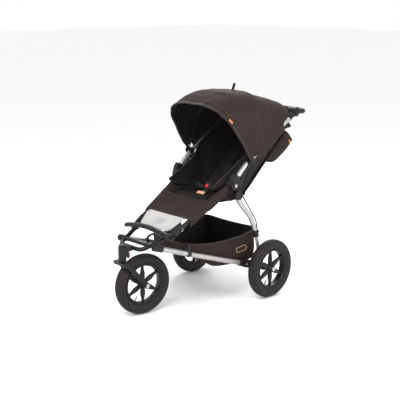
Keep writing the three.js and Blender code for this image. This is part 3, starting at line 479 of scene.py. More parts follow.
def stitches(name, points, normals, gap=0.0055, length=0.0032, lift=0.0006, width=0.0007):
    """A row of small thread stitches lying along a line of points."""
    total = sum((b - a).length for a, b in zip(points, points[1:]))
    count = max(2, int(total / gap))
    line = evenly(points, count)
    out = evenly([p + n for p, n in zip(points, normals)], count)
    verts, faces = [], []
    for i in range(count - 1):
        n = (out[i] - line[i]).normalized()
        t = (line[i + 1] - line[i]).normalized()
        s = t.cross(n)
        c = line[i] + n * lift
        base = len(verts)
        for u, w in ((-0.5, 0.5), (-0.2, 1), (0.2, 1), (0.5, 0.5)):
            for a in range(6):
                k = math.tau * a / 6
                verts.append(c + t * length * u + s * width * w * math.cos(k)
                        + n * width * 0.6 * w * math.sin(k))
        for r in range(3):
            for a in range(6):
                b = (a + 1) % 6
                faces.append((base + 6 * r + a, base + 6 * r + b, base + 6 * r + 6 + b,
                        base + 6 * r + 6 + a))
        faces.append(tuple(base + a for a in range(6))[::-1])
        faces.append(tuple(base + 18 + a for a in range(6)))
    return mesh_object(name, verts, faces, "thread")


def puff(obj, cap, pressure=4.0, voxel=0.006):
    """Fills a pad by cloth simulation, with no point moving further than cap."""
    with_modifier(obj, "REMESH", mode="VOXEL", voxel_size=voxel, use_smooth_shade=True)
    apply_modifiers(obj)
    start = np.array([v.co for v in obj.data.vertices])
    with_modifier(obj, "CLOTH")
    cloth = obj.modifiers["cloth"].settings
    cloth.use_pressure = True
    cloth.uniform_pressure_force = pressure
    cloth.effector_weights.gravity = 0
    cloth.quality = 4
    for step in range(1, 21):
        bpy.context.scene.frame_set(step)
    apply_modifiers(obj)
    at = np.array([v.co for v in obj.data.vertices])
    move = at - start
    size = np.linalg.norm(move, axis=1, keepdims=True)
    at = start + move * np.minimum(1, cap / np.maximum(size, 1e-9))
    for v, co in zip(obj.data.vertices, at):
        v.co = co
    bpy.context.scene.frame_set(1)
    return obj


def wrinkle(obj, amount, scale, seed=0.0):
    """Moves each point a little along its normal by smooth noise: the slackness of real cloth."""
    for v, n in zip(obj.data.vertices, [v.normal.copy() for v in obj.data.vertices]):
        p = v.co
        v.co = p + n * amount * noise.noise(Vector((p.x * scale[0], p.y * scale[1], p.z * scale[2] + seed)))
    return obj


def skin(obj, thick=SKIN, inner=False):
    """Gives a sheet its thickness; the inner face takes the second material."""
    with_modifier(obj, "SOLIDIFY", thickness=thick, offset=0, use_rim=True, use_even_offset=False,
            material_offset=1 if inner else 0, material_offset_rim=0)
    return apply_modifiers(obj)


# ------------------------------------------------------------------ wheels
TYRE_BEAD = 0.104
RIM_OPEN = 0.093
TYRE_HALF = 0.027
TREAD_BLOCKS = 72
SPOKES = 6
TREAD_R = 0.1270               # middle of the tyre section


def tyre(name, centre, axis):
    """Air tyre: ribbed tread with cross grooves on its shoulders, and ridges on the sidewalls."""
    axis = Vector(axis).normalized()
    side, rise = across_axis(axis)
    wall = AXLE_Z - TREAD_R
    section = []
    for a in np.radians(np.linspace(-118, 118, 57)):
        s, c = math.sin(a), math.cos(a)
        u = TYRE_HALF * signed_power(s, 0.85)
        r = TREAD_R + wall * signed_power(c, 0.85)
        for ridge in (0.1185, 0.1325, 0.1385):
            if abs(s) > 0.6:
                u += math.copysign(0.0011, s) * math.exp(-((r - ridge) / 0.0011) ** 2)
        section.append((u, r))
    section += [(0.0205, 0.1075), (0.0180, TYRE_BEAD), (-0.0180, TYRE_BEAD), (-0.0205, 0.1075)]
    rows = []
    steps = TREAD_BLOCKS * 3
    for i in range(steps):
        a = math.tau * i / steps
        row = []
        for u, r in section:
            groove = 0.0
            if r > 0.1475:
                groove = 0.0018 * math.exp(-((abs(u) - 0.0065) / 0.0012) ** 4)
            if 0.0100 < abs(u) and r > 0.1400 and (i + (1 if u > 0 else 0)) % 3 == 0:
                groove = 0.0016
            out = side * math.cos(a) + rise * math.sin(a)
            row.append(centre + axis * u + out * (r - groove))
        rows.append(row)
    return loft(name, rows, "tyre_rubber", closed=True, around=True)


def rim(name, node_name, centre, axis, valve_at):
    """Plastic rim with leaf spokes, a stepped hub and a valve stem."""
    axis = Vector(axis).normalized()
    side, rise = across_axis(axis)
    reach = [(v.co - centre) for v in frame["nodes"][node_name].data.vertices]
    near = [d.dot(axis) for d in reach if (d - axis * d.dot(axis)).length < 0.030]
    hub_low, hub_high = min(near), max(near)
    parts = [lathe("ring", [(-0.0188, 0.1036), (-0.0196, 0.1030), (-0.0196, 0.0970), (-0.0185, 0.0955),
            (-0.0135, 0.0932), (-0.0120, RIM_OPEN), (0.0120, RIM_OPEN), (0.0135, 0.0932),
            (0.0185, 0.0955), (0.0196, 0.0970), (0.0196, 0.1030), (0.0188, 0.1036)],
            centre, axis, "rim_plastic", 96)]
    mid = (hub_low + hub_high) / 2
    half = (hub_high - hub_low) / 2
    parts.append(lathe("hub", [(mid - half, 0.0085), (mid - half, 0.0150), (mid - half + 0.002, 0.0175),
            (mid - 0.012, 0.0190), (mid - 0.010, 0.0235), (mid + 0.010, 0.0235),
            (mid + 0.012, 0.0190), (mid + half - 0.002, 0.0175), (mid + half, 0.0150),
            (mid + half, 0.0085)], centre, axis, "rim_plastic", 64))
    stations = ((0.012, 0.0075, 0.0110), (0.024, 0.0090, 0.0105), (0.040, 0.0125, 0.0090),
            (0.055, 0.0122, 0.0080), (0.070, 0.0088, 0.0072), (0.084, 0.0062, 0.0072),
            (0.0945, 0.0075, 0.0090))
    for k in range(SPOKES):
        a = math.tau * k / SPOKES + math.pi / SPOKES
        out = side * math.cos(a) + rise * math.sin(a)
        along = axis.cross(out)
        path = smooth_path([Vector(s) for s in stations], 22)
        rows = []
        for r, w, h in path:
            rows.append([centre + out * r + along * w * signed_power(math.cos(b), 0.7)
                    + axis * h * signed_power(math.sin(b), 0.6)
                    for b in (math.tau * j / 20 for j in range(20))])
        parts.append(loft("spoke", rows, "rim_plastic", closed=True, caps=True))
    out = side * math.cos(valve_at) + rise * math.sin(valve_at)
    stem = [centre + out * r + axis * 0.010 for r in (0.0935, 0.088, 0.083, 0.078)]
    parts.append(tube("valve", stem, lambda t: 0.0026 - 0.0008 * (t > 0.6), "black_plastic", 12))
    parts.append(tube("valve_cap", [stem[-1], stem[-1] - out * 0.008], 0.0030, "black_plastic", 12))
    return merged(name, parts)


SPIN = next(j for j in frame["joints"] if j["name"] == "front_wheel_spin")
FRONT_AXIS = Vector(SPIN["axis"])
FRONT_CENTRE = Vector(SPIN["pos_m"])
TRACK_HALF = sum(p.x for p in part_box("rear_tyre_left")) / 2
for name, body, centre, axis in (
        ("front", "front_wheel", FRONT_CENTRE, FRONT_AXIS),
        ("rear_left", "rear_wheel_left", P(TRACK_HALF, 0, AXLE_Z), (1, 0, 0)),
        ("rear_right", "rear_wheel_right", P(-TRACK_HALF, 0, AXLE_Z), (-1, 0, 0))):
    cad = "front_{}" if name == "front" else "rear_{}_" + name.split("_")[-1]
    piece = tyre(name + "_tyre_shape", centre, axis)
    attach(piece, body)
    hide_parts(cad.format("tyre"))
    piece = rim(name + "_rim_shape", cad.format("rim"), centre, axis, -0.95)
    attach(piece, body)
    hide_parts(cad.format("rim"))


# ------------------------------------------------------------------ hood
HOOD_HALF = 0.2345
HOOD_COLS = 121
HOOD_FRONT_DEG, HOOD_MID_DEG, TUBE_DEG = 124.0, 74.0, 31.7
HOOD_ROWS = 24
TUBE_LIFT = 0.017               # the hood passes this far above the handle tubes


def arch(deg, reach, power, lift=0.0):
    """One hoop of the hood, from its left foot over the crown to its right foot."""
    a = math.radians(deg)
    dense = []
    for i in range(361):
        t = math.pi * (0.0009 + 0.9982 * i / 360)
        x = signed_power(math.cos(t), 2 / power) * HOOD_HALF
        r = math.sin(t) ** (2 / power) * reach
        dense.append(P(x, PIVOT[0] + math.cos(a) * r - math.sin(a) * lift,
                PIVOT[1] + math.sin(a) * r + math.cos(a) * lift))
    return evenly(dense, HOOD_COLS)


def smoothstep(low, high, x):
    t = min(1, max(0, (x - low) / (high - low)))
    return t * t * (3 - 2 * t)


hood_rows = []
for i in range(HOOD_ROWS):
    t = i / (HOOD_ROWS - 1)
    reach = 0.339 + 0.0075 * (2 * t - 1) ** 2
    hood_rows.append(arch(HOOD_FRONT_DEG + (HOOD_MID_DEG - HOOD_FRONT_DEG) * t, reach, 3.4))
for i in range(1, HOOD_ROWS):
    t = i / (HOOD_ROWS - 1)
    reach = 0.3465 + 0.080 * t ** 1.5 - 0.007 * math.sin(math.pi * t)
    hood_rows.append(arch(HOOD_MID_DEG + (TUBE_DEG - HOOD_MID_DEG) * t, reach, 3.4 + 1.6 * t,
            TUBE_LIFT * t))
mid_row, tube_row = HOOD_ROWS - 1, len(hood_rows) - 1
down = Vector((0, math.sin(math.radians(TUBE_DEG)), -math.cos(math.radians(TUBE_DEG))))
for i in range(1, 9):
    row = []
    for p in hood_rows[tube_row]:
        side_drop = 0.036 * smoothstep(0.2265, 0.2300, abs(p.x))
        rear_drop = 0.070 * (1 - smoothstep(0.178, 0.192, abs(p.x)))
        row.append(p + down * side_drop * i / 8 + Vector((0, -0.008, -1)) * rear_drop * i / 8)
    hood_rows.append(row)
hood = loft("hood", hood_rows, ["hood_fabric", "lining"])
wrinkle(hood, 0.0072, (4, 12, 12), 3.1)
wrinkle(hood, 0.0030, (17, 27, 27), 8.4)
for v in hood.data.vertices:          # pleats gather towards the two feet
    d = Vector((v.co.y - AXLE_Y - PIVOT[0], v.co.z - PIVOT[1]))
    pleat = math.sin(math.atan2(d.y, d.x) * 26) * 0.0028 * math.exp(-(d.length / 0.15) ** 2)
    v.co.x += math.copysign(pleat, v.co.x) if abs(v.co.x) > 0.2 else 0
for v in hood.data.vertices:
    v.co.x = max(-HOOD_HALF - 0.002, min(HOOD_HALF + 0.002, v.co.x))
hood_at = [v.co.copy() for v in hood.data.vertices]
hood_out = [v.normal.copy() for v in hood.data.vertices]
if hood_out[mid_row * HOOD_COLS + HOOD_COLS // 2].z < 0:
    hood_out = [-n for n in hood_out]


def hood_line(row, first=0, last=HOOD_COLS, lift=0.0):
    """Points and outward normals along one row of the hood."""
    at = range(row * HOOD_COLS + first, row * HOOD_COLS + last)
    return [hood_at[k] + hood_out[k] * lift for k in at], [hood_out[k] for k in at]


if hood.data.polygons[0].normal.dot(hood_out[0]) < 0:
    hood.data.flip_normals()
refined(hood)
skin(hood, inner=True)
rim_points, rim_normals = hood_line(0)
hood_binding = strap("hood_front_binding", [p + n * 0.0005 for p, n in zip(rim_points, rim_normals)],
        rim_normals, 0.014, 0.0046, "binding")
seam_points, _ = hood_line(mid_row, 3, HOOD_COLS - 3, 0.0012)
hood_piping = tube("hood_seam_piping", seam_points, 0.0019, "binding", 10)
hem = [hood_line(len(hood_rows) - 1)[0][k] for k in range(HOOD_COLS)]
hood_hem = tube("hood_hem", evenly(hem, 260), 0.0024, "binding", 10, flat=1.0)
rows_of_thread = []
for row, first in ((3, 8), (mid_row - 1, 8), (mid_row + 1, 8), (mid_row + HOOD_ROWS // 2, 12)):
    points, normals = hood_line(row, first, HOOD_COLS - first, 0.0012)
    rows_of_thread.append(stitches("row", points, normals))
hood_thread = merged("hood_stitching", rows_of_thread)
tag_points, tag_normals = hood_line(1, 28, 32, 0.002)
hood_tag = strap("hood_tag", tag_points, tag_normals, 0.010, 0.0016, "tag")
hood_tab = strap("hood_tab", smooth_path([P(0, y, z) for y, z in (
    (0.006, 1.054), (0.013, 1.070), (0.0205, 1.0870), (0.0225, 1.0860), (0.0160, 1.069), (0.0100,
        1.053))], 24),
    Vector((1, 0, 0)), 0.0014, 0.009, "webbing")
for piece in (hood, hood_binding, hood_piping, hood_hem, hood_thread, hood_tag, hood_tab):
    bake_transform(piece)
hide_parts("canopy_fabric")
for side, s in SIDES:
    clip = lathe("hood_clip_" + side, [(-0.0020, 0.0010), (-0.0020, 0.0160), (0.0006, 0.0185),
            (0.0030, 0.0170), (0.0042, 0.0120), (0.0030, 0.0085), (0.0030,
            0.0010)],
            P(s * 0.2375, *PIVOT), (s, 0, 0), "black_plastic", 48)
    fit(clip, "handle_frame")


# ------------------------------------------------------------------ seat
def tube_x(y):
    return 0.140 + (y - FRONT_PIVOT[0]) / (HINGE[0] - FRONT_PIVOT[0]) * 0.042


def tube_z(y):
    return FRONT_PIVOT[1] + (y - FRONT_PIVOT[0]) / (HINGE[0] - FRONT_PIVOT[0]) * (HINGE[1] - FRONT_PIVOT[1])


WRAP = 0.0165                   # fabric sleeve around a seat tube
KNEE_Y, PANEL_LOW_Y, SEAT_END_Y = -0.335, -0.4545, -0.112


def panel_section(y, dip, lap=0.016):
    """Across the seat at y: sleeve, panel and sleeve; dip is how far the middle hangs."""
    xt, zt = tube_x(y), tube_z(y)
    half = []
    for a in np.radians(np.linspace(-115, 68, 15)):
        stretch = lap if a < 0 else 0.0
        half.append((xt + WRAP * math.cos(a), zt + WRAP * math.sin(a) - stretch * math.sin(-a) * (a < 0)))
    inner = half[-1]
    for t in np.linspace(0.06, 1, 16):
        x = inner[0] * (1 - t)
        half.append((x, inner[1] - dip * smoothstep(0, 0.55, t) - 0.002 * math.sin(math.pi * t)))
    points = [P(x, y, z) for x, z in half]
    return points + [Vector((-p.x, p.y, p.z)) for p in points[-2::-1]]


panel_rows = [panel_section(y, 0.003 + 0.004 * i / 17) for i,
        y in enumerate(np.linspace(PANEL_LOW_Y, KNEE_Y + 0.010, 18))]
leg_panel = loft("leg_panel", panel_rows, ["panel_fabric", "mesh_fabric"])
wrinkle(leg_panel, 0.0026, (7, 16, 16), 1.7)
wrinkle(leg_panel, 0.0010, (30, 40, 40), 5.2)
refined(leg_panel)
skin(leg_panel, 0.0022, inner=True)
fit(leg_panel, "seat_frame")
crease = tube("knee_seam",
        smooth_path([p + Vector((0, 0.001, 0.0022)) for p in panel_rows[-2][14:-14]], 60),
        0.0022, "binding", 10)
fit(crease, "seat_frame")
panel_hem = strap("panel_hem",
        smooth_path([p + Vector((0, 0.004, 0.0022)) for p in panel_rows[0][12:-12]], 60),
        Vector((0, -0.5, 0.86)), 0.012, 0.0024, "binding")
fit(panel_hem, "seat_frame")

for side, s in SIDES:                                   # sleeves up to the hinges
    rows = []
    for y in np.linspace(KNEE_Y + 0.004, -0.2200, 16):
        xt, zt = tube_x(y), tube_z(y)
        row = []
        for a in np.radians(np.arange(0, 360, 15)):
            drop = 0.020 if math.sin(a) < 0 else 0.0
            row.append(P(s * (xt + WRAP * math.cos(a)), y, zt + (WRAP + drop) * math.sin(a)))
        rows.append(row)
    sleeve = loft("side_sleeve_" + side, rows, ["panel_fabric"], closed=True)
    wrinkle(sleeve, 0.0022, (14, 26, 26), 2.0 + s)
    refined(sleeve)
    skin(sleeve, 0.0022)
    fit(sleeve, "seat_frame")

well_rows = []
for i, y in enumerate(np.linspace(KNEE_Y, SEAT_END_Y, 22)):
    t = i / 21
    seat_z = 0.534 - 0.031 * t
    held = min(y, -0.205)
    edge_x, edge_z = tube_x(held) - WRAP * 0.9, min(tube_z(held) + 0.004, seat_z + 0.105)
    edge_x = edge_x + (0.147 - edge_x) * smoothstep(-0.205, SEAT_END_Y, y)
    edge_z = edge_z + (seat_z + 0.052 - edge_z) * smoothstep(-0.205, SEAT_END_Y, y)
    half = []
    for k in np.linspace(0, 1, 17):
        x = edge_x * (1 - k)
        fall = smoothstep(0, 0.30, k)
        half.append((x, edge_z + (seat_z - 0.006 - edge_z) * fall))
    points = [P(x, y, z) for x, z in half]
    well_rows.append(points + [Vector((-p.x, p.y, p.z)) for p in points[-2::-1]])
for y, z, lift in ((-0.092, 0.499, 0.045), (-0.073, 0.504, 0.024), (-0.056, 0.516, 0.010),
        (-0.040, 0.533, 0.0)):
    # turned up behind the backrest, with the two corners drawn up
    well_rows.append([P(x, y, z + lift * smoothstep(0.110, 0.147, abs(x))) for x in np.linspace(0.147,
            -0.147, 33)])
seat_well = loft("seat_well", well_rows, ["seat_lining", "mesh_fabric"])
wrinkle(seat_well, 0.0035, (12, 20, 12), 4.0)
refined(seat_well)
skin(seat_well, 0.0024, inner=True)
fit(seat_well, "seat_frame")
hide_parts("seat_base")


def pad_shape(name, place, half, length, thick, material, taper=0.0):
    """A thin rounded slab in its own plane: place(x, along, off) gives each point."""
    rows = []
    count = 13
    for t in np.linspace(0, 1, count):
        end = math.sqrt(max(0.0, 1 - abs(2 * t - 1) ** 6))
        h = half * (1 - taper * t)
        ring = []
        for a in (math.tau * k / 40 for k in range(40)):
            x = signed_power(math.cos(a), 0.28) * h
            off = signed_power(math.sin(a), 0.7) * thick / 2 * (0.25 + 0.75 * end)
            ring.append(place(x, t * length, off))
        rows.append(ring)
    return loft(name, rows, material, closed=True, caps=True)


seat_slope = math.atan2(0.536 - 0.506, -0.112 + 0.335)
seat_pad = pad_shape("seat_pad", lambda x, a, o: P(x, -0.322 + a * math.cos(seat_slope),
        0.5385 - a * math.sin(seat_slope) + o),
        0.124, 0.196, 0.012, "seat_lining")
puff(seat_pad, 0.007)
refined(seat_pad)
fit(seat_pad, "seat_frame")

back_y, back_z = math.cos(math.radians(BACK_DEG)), math.sin(math.radians(BACK_DEG))


def on_back(x, along, off):
    """A point on the backrest: off is behind its front face."""
    return P(x, BACK_FOOT[0] + back_y * along + back_z * off, BACK_FOOT[1] + back_z * along - back_y * off)


back_out = Vector((0, -back_z, back_y))
back_pad = pad_shape("back_pad", lambda x, a, o: on_back(x, a + 0.018, 0.003 - o), 0.1465, 0.452, 0.013,
        "seat_lining")
puff(back_pad, 0.008)
refined(back_pad)
for v in back_pad.data.vertices:                        # sewn channels run up the back
    groove = sum(math.exp(-((v.co.x - x) / 0.0042) ** 2) for x in (-0.086, -0.030, 0.030, 0.086))
    if (v.co - on_back(0, 0, 0.003)).dot(back_out) > 0:
        v.co -= back_out * 0.0045 * min(1, groove)
back_shell = pad_shape("back_shell", lambda x, a, o: on_back(x, a + 0.010, 0.0125 - o), 0.1500, 0.478,
        0.010,
        "panel_fabric")
refined(back_shell)
wrinkle(back_shell, 0.0018, (9, 14, 14), 6.0)
wings = []
WING_TOP = [(-0.303, 0.604), (-0.226, 0.642), (-0.132, 0.696), (-0.068, 0.748), (0.046, 0.830),
        (0.150, 0.886), (0.222, 0.894), (0.262, 0.858)]
WING_LOW = [(-0.290, 0.590), (-0.196, 0.562), (-0.098, 0.524), (0.000, 0.604), (0.090, 0.684),
        (0.160, 0.748), (0.220, 0.802), (0.266, 0.846)]
WING_FLARE = 0.028              # the upper edge leans out towards the handle tube
for side, s in SIDES:
    top = smooth_path([P(0, *p) for p in WING_TOP], 64)
    low = smooth_path([P(0, *p) for p in WING_LOW], 64)
    rows = []
    for t in np.linspace(0, 1, 9):
        bulge = 0.150 + 0.004 * math.sin(math.pi * t) + 0.006 * t - 0.014 * (1 - smoothstep(0, 0.2, t))
        tuck = -back_out * 0.009 * (1 - smoothstep(0, 0.2, t))
        row = []
        for a, b in zip(low, top):
            q = a.lerp(b, t)
            lean = WING_FLARE * smoothstep(0.1, 1, t) * smoothstep(-0.130, -0.050, b.y - AXLE_Y)
            row.append(q + Vector((s * (bulge + lean), 0, 0)) + tuck)
        rows.append(row)
    wing = loft("seat_wing_" + side, rows, ["seat_lining"])
    wrinkle(wing, 0.0045, (8, 15, 13), 7.0 + s)
    refined(wing)
    skin(wing, 0.0045)
    edge = strap("wing_binding_" + side, [p + Vector((0, 0, 0.001)) for p in rows[-1]],
            Vector((0, -0.4, 0.9)), 0.007, 0.0040, "binding")
    wings += [wing, edge]
for piece in (back_pad, back_shell, *wings):
    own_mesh(piece)
    fit(piece, "back")
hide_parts("backrest")


# ------------------------------------------------------------------ pouch behind the backrest
POUCH_SIDES = 56


def pouch_ring(along, depth, half, front=0.0195):
    ring = []
    for a in (math.tau * k / POUCH_SIDES for k in range(POUCH_SIDES)):
        x = signed_power(math.cos(a), 0.35) * half
        off = (front + depth) / 2 + signed_power(math.sin(a), 0.45) * (depth - front) / 2
        ring.append(on_back(x, along, off))
    return ring


pouch_rows = [pouch_ring(along, depth, half) for along, depth, half in (
    (0.487, 0.120, 0.1365), (0.470, 0.123, 0.1375), (0.440, 0.121, 0.1378), (0.405, 0.116, 0.1378),
    (0.370, 0.108, 0.1372), (0.335, 0.099, 0.136), (0.312, 0.090, 0.133), (0.298, 0.074, 0.127),
    (0.290, 0.052, 0.117), (0.287, 0.034, 0.100))]
pouch = loft("rear_pouch", pouch_rows, ["hood_fabric", "lining"], closed=True)
edit_mesh(pouch, close_bottom(POUCH_SIDES))
wrinkle(pouch, 0.0040, (11, 17, 17), 9.0)
refined(pouch)
skin(pouch, 0.0020, inner=True)
pouch_edge = tube("pouch_edge", evenly([*pouch_rows[0], pouch_rows[0][0]], 141)[:-1], 0.0032, "binding", 10,
        closed=True)
snap = lathe("pouch_snap", [(-0.001, 0.0005), (-0.001, 0.0070), (0.0015, 0.0070), (0.0030, 0.0045),
        (0.0032, 0.0005)], on_back(0.085, 0.395, 0.1165), -back_out, "black_plastic", 32)
tag_line = []
for off in (0.076, 0.086, 0.096, 0.106):                # on the left side, along the top edge
    hit, where, _, _ = pouch.ray_cast(on_back(0.30, 0.466, off), Vector((-1, 0, 0)))
    tag_line.append(where + Vector((0.0012, 0, 0)))
pouch_tag = strap("pouch_tag", tag_line, Vector((1, 0, 0)), 0.009, 0.0016, "tag")
for piece in (pouch, pouch_edge, snap, pouch_tag):
    fit(piece, "back")
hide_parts("pouch")


# ------------------------------------------------------------------ harness
for side, s in SIDES:
    route = smooth_path([on_back(s * x, along, -off) for along, off, x in (
        (0.120, 0.013, 0.044), (0.180, 0.012, 0.050), (0.330, 0.011, 0.052), (0.425, 0.010, 0.052))], 40)
    belt = strap("shoulder_belt_" + side, route, back_out, 0.025, 0.0018, "webbing")
    pad_rows = smooth_path([on_back(s * x, along, -off) for along, off, x in (
        (0.195, 0.014, 0.050), (0.280, 0.014, 0.0515), (0.385, 0.013, 0.052))], 24)
    cushion = tube("shoulder_pad_" + side, pad_rows, 0.0205, "seat_lining", 28, flat=0.27, up=back_out)
    for piece in (belt, cushion):
        fit(piece, "back")
    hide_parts("shoulder_strap_" + side)
lap = strap("lap_belt", smooth_path([P(x, y, z) for x, y, z in (
    (0.143, -0.118, 0.556), (0.092, -0.138, 0.552), (0.030, -0.159, 0.560), (0, -0.163, 0.562),
    (-0.030, -0.159, 0.560), (-0.092, -0.138, 0.552), (-0.143, -0.118, 0.556))], 60),
    Vector((0, -0.5, 0.85)), 0.025, 0.0018, "webbing")
crotch = strap("crotch_belt", smooth_path([P(0, y, z) for y, z in (
    (-0.232, 0.532), (-0.212, 0.540), (-0.190, 0.552), (-0.172, 0.560))], 20), Vector((0, -0.5, 0.85)),
    0.030, 0.0020, "webbing")
crotch_label = tube("crotch_label", smooth_path([P(x, -0.222, 0.5435 + 0.002 * (1 - (x / 0.022) ** 2))
        for x in (-0.022, -0.011, 0.0, 0.011, 0.022)], 14),
        0.0105, "label", 20, flat=0.30, up=Vector((0, -0.45, 0.9)))
for piece in (lap, crotch, crotch_label):
    fit(piece, "seat_frame")
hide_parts("lap_harness")


# ------------------------------------------------------------------ basket
def basket_half(y):
    return min(0.130 + (y + 0.634) / 0.531 * 0.084 - 0.0165, 0.197)


RIM_LINE = [(0.0, -0.451, 0.334), (0.070, -0.451, 0.335), (0.118, -0.446, 0.338),
        (basket_half(-0.41), -0.410, 0.334),
        (basket_half(-0.35), -0.350, 0.324), (basket_half(-0.28), -0.280, 0.320),
        (basket_half(-0.20), -0.200, 0.322), (basket_half(-0.11), -0.110, 0.332), (0.196, -0.040,
        0.345),
        (0.186, -0.004, 0.349), (0.150, 0.003, 0.349), (0.075, 0.003, 0.346), (0.0, 0.003, 0.345)]
FLOOR = [(-0.452, 0.290), (-0.380, 0.240), (-0.300, 0.200), (-0.240, 0.190), (-0.070, 0.186),
        (0.010, 0.200)]
right_half = smooth_path([Vector(p) for p in RIM_LINE], 56)
rim_loop = right_half + [Vector((-p.x, p.y, p.z)) for p in right_half[-2:0:-1]]
middle = Vector((0, -0.215, 0))
basket_rows = []
for t in np.linspace(0, 1, 20):                         # walls with a rounded lower corner
    row = []
    for p in rim_loop:
        floor_z = float(np.interp(p.y, *zip(*FLOOR)))
        side_on = abs(p.x) / 0.2
        inset = 0.10 * (1 - math.sqrt(1 - min(1, t * 0.995) ** 4)) + (0.030 if p.y > -0.02 else 0.012) * t
        flat = Vector((p.x, p.y, 0)).lerp(middle, min(0.9, inset * (1.1 - 0.2 * side_on)))
        bulge = 1 - 0.010 * math.sin(math.pi * t)
        row.append(P(flat.x * bulge, flat.y, p.z + (floor_z - p.z) * math.sin(t * math.pi / 2) ** 1.1))
    basket_rows.append(row)
for t in np.linspace(0.12, 0.96, 9):                    # the floor sags towards its middle
    row = []
    for p in basket_rows[19]:
        q = p.lerp(P(0, middle.y, 0.186), t)
        q.z = p.z + (0.1855 - p.z) * t ** 0.8
        row.append(q)
    basket_rows.append(row)
basket = loft("under_basket", basket_rows, ["panel_fabric", "lining"], closed=True)
edit_mesh(basket, close_bottom(len(rim_loop)))
wrinkle(basket, 0.0048, (10, 9, 15), 12.0)
wrinkle(basket, 0.0016, (28, 24, 34), 14.0)
refined(basket)
skin(basket, 0.0020, inner=True)
rim_at = basket_rows[0]
basket_edge = tube("basket_edge", evenly([*rim_at, rim_at[0]], 181)[:-1], 0.0046, "binding", 12,
        closed=True,
        flat=1.0)
for piece in (basket, basket_edge):
    fit(piece, "chassis")
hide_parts("basket")
SIDE_A, SIDE_B = Vector((0.130, -0.634, 0.357)), Vector((0.214, -0.103, 0.181))
for side, s in SIDES:                                   # straps round the side tubes, and a woven mark
    centre = SIDE_A.lerp(SIDE_B, 0.33)
    along = (SIDE_B - SIDE_A).normalized()
    across = along.cross(Vector((0, 0, 1))).normalized()
    rise = across.cross(along)
    ring = []
    for a in np.radians(np.arange(0, 360, 12)):
        q = centre + across * 0.0145 * math.cos(a) + rise * 0.0145 * math.sin(a)
        ring.append(P(s * q.x, q.y, q.z))
    hoop = strap("tube_strap", [*ring, ring[0], ring[1]],
            [(p - P(s * centre.x, centre.y, centre.z)).normalized() for p in [*ring, ring[0],
            ring[1]]],
            0.022, 0.0020, "webbing")
    rim_point = min(rim_at, key=lambda p: (p - P(s * basket_half(-0.45), -0.452, 0.338)).length)
    top = P(s * centre.x, centre.y, centre.z) + Vector((0, 0.004, 0.0155))
    lead = strap("lead",
            smooth_path([top, top.lerp(rim_point, 0.5) + Vector((s * 0.002, 0, 0.002)), rim_point], 14),
            Vector((s, 0, 0.4)), 0.020, 0.0020, "webbing")
    basket_strap = merged("basket_strap_" + side, [hoop, lead])
    mark = []
    for a in np.radians(np.arange(0, 360, 8)):
        u = 0.034 * signed_power(math.cos(a), 0.5)
        w = 0.013 * signed_power(math.sin(a), 0.6)
        mark.append((u - 0.118, 0.262 + w + u * 0.12))
    outline = []
    for y, z in mark:
        near = min(basket.data.vertices, key=lambda v: (v.co.y - AXLE_Y - y) ** 2 + (v.co.z - z) ** 2
                - 4 * s * v.co.x * 0.001)
        outline.append(P(near.co.x + s * 0.0012, y, z) if near.co.x * s > 0 else P(s * 0.19, y, z))
    xs = np.convolve([p.x for p in outline[-4:] + outline + outline[:4]], np.ones(9) / 9, "valid")
    outline = [Vector((x, p.y, p.z)) for x, p in zip(xs, outline)]
    emblem = tube("basket_mark_" + side, outline, 0.0013, "emblem", 8, closed=True)
    for piece in (basket_strap, emblem):
        fit(piece, "chassis")


# ------------------------------------------------------------------ footplate details, bracket arrows, grip
PLATE_TOP, PLATE_LOW = (-0.459, 0.470), (-0.543, 0.418)
plate_dir = Vector((0, PLATE_TOP[0] - PLATE_LOW[0], PLATE_TOP[1] - PLATE_LOW[1])).normalized()
plate_out = Vector((0, -plate_dir.z, plate_dir.y))
plate_mid = P(0, (PLATE_TOP[0] + PLATE_LOW[0]) / 2, (PLATE_TOP[1] + PLATE_LOW[1]) / 2) + plate_out * 0.0062
marks = []
for half, tall in ((0.034, 0.013), (0.012, 0.006)):
    ring = []
    for a in np.radians(np.arange(0, 360, 10)):
        ring.append(plate_mid + Vector((half * signed_power(math.cos(a), 0.6), 0, 0))
                + plate_dir * tall * math.sin(a))
    marks.append(tube("mark", ring, 0.0008, "plate_mark", 8, closed=True))
plate_mark = merged("footplate_mark", marks)
fit(plate_mark, "seat_frame")
snaps = []
for s in (1, -1):
    for along, x in ((0.036, 0.119), (-0.036, 0.104)):
        snaps.append(lathe("snap",
                [(0, 0.0004), (0, 0.0052), (0.0016, 0.0046), (0.0024, 0.0030), (0.0024, 0.0004)],
                plate_mid + plate_dir * along + Vector((s * x, 0, 0)), plate_out, "steel", 24))
plate_snaps = merged("footplate_snaps", snaps)
fit(plate_snaps, "seat_frame")

for side, s in SIDES:                                   # a plain white arrow on each bracket
    bracket = frame["nodes"]["footplate_bracket_" + side]
    low_corner, high_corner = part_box("footplate_bracket_" + side)
    arrow_at = (low_corner + high_corner) / 2
    into = bracket.matrix_world.inverted()
    stroke = []
    for u, w in ((-0.005, 0.007), (0.004, 0), (-0.005, -0.007)):
        start = into @ Vector((s * 0.30, arrow_at.y + u, arrow_at.z + w))
        hit, where, _, _ = bracket.ray_cast(start, into.to_3x3() @ Vector((-s, 0, 0)))
        if hit:
            stroke.append(bracket.matrix_world @ where)
    if len(stroke) == 3:
        dense = [stroke[0].lerp(stroke[1], t) for t in np.linspace(0, 1, 6)]
        dense += [stroke[1].lerp(stroke[2], t) for t in np.linspace(0.2, 1, 5)]
        arrow = tube("bracket_arrow_" + side, dense, 0.0011, "white_plastic", 8)
        fit(arrow, "seat_frame")

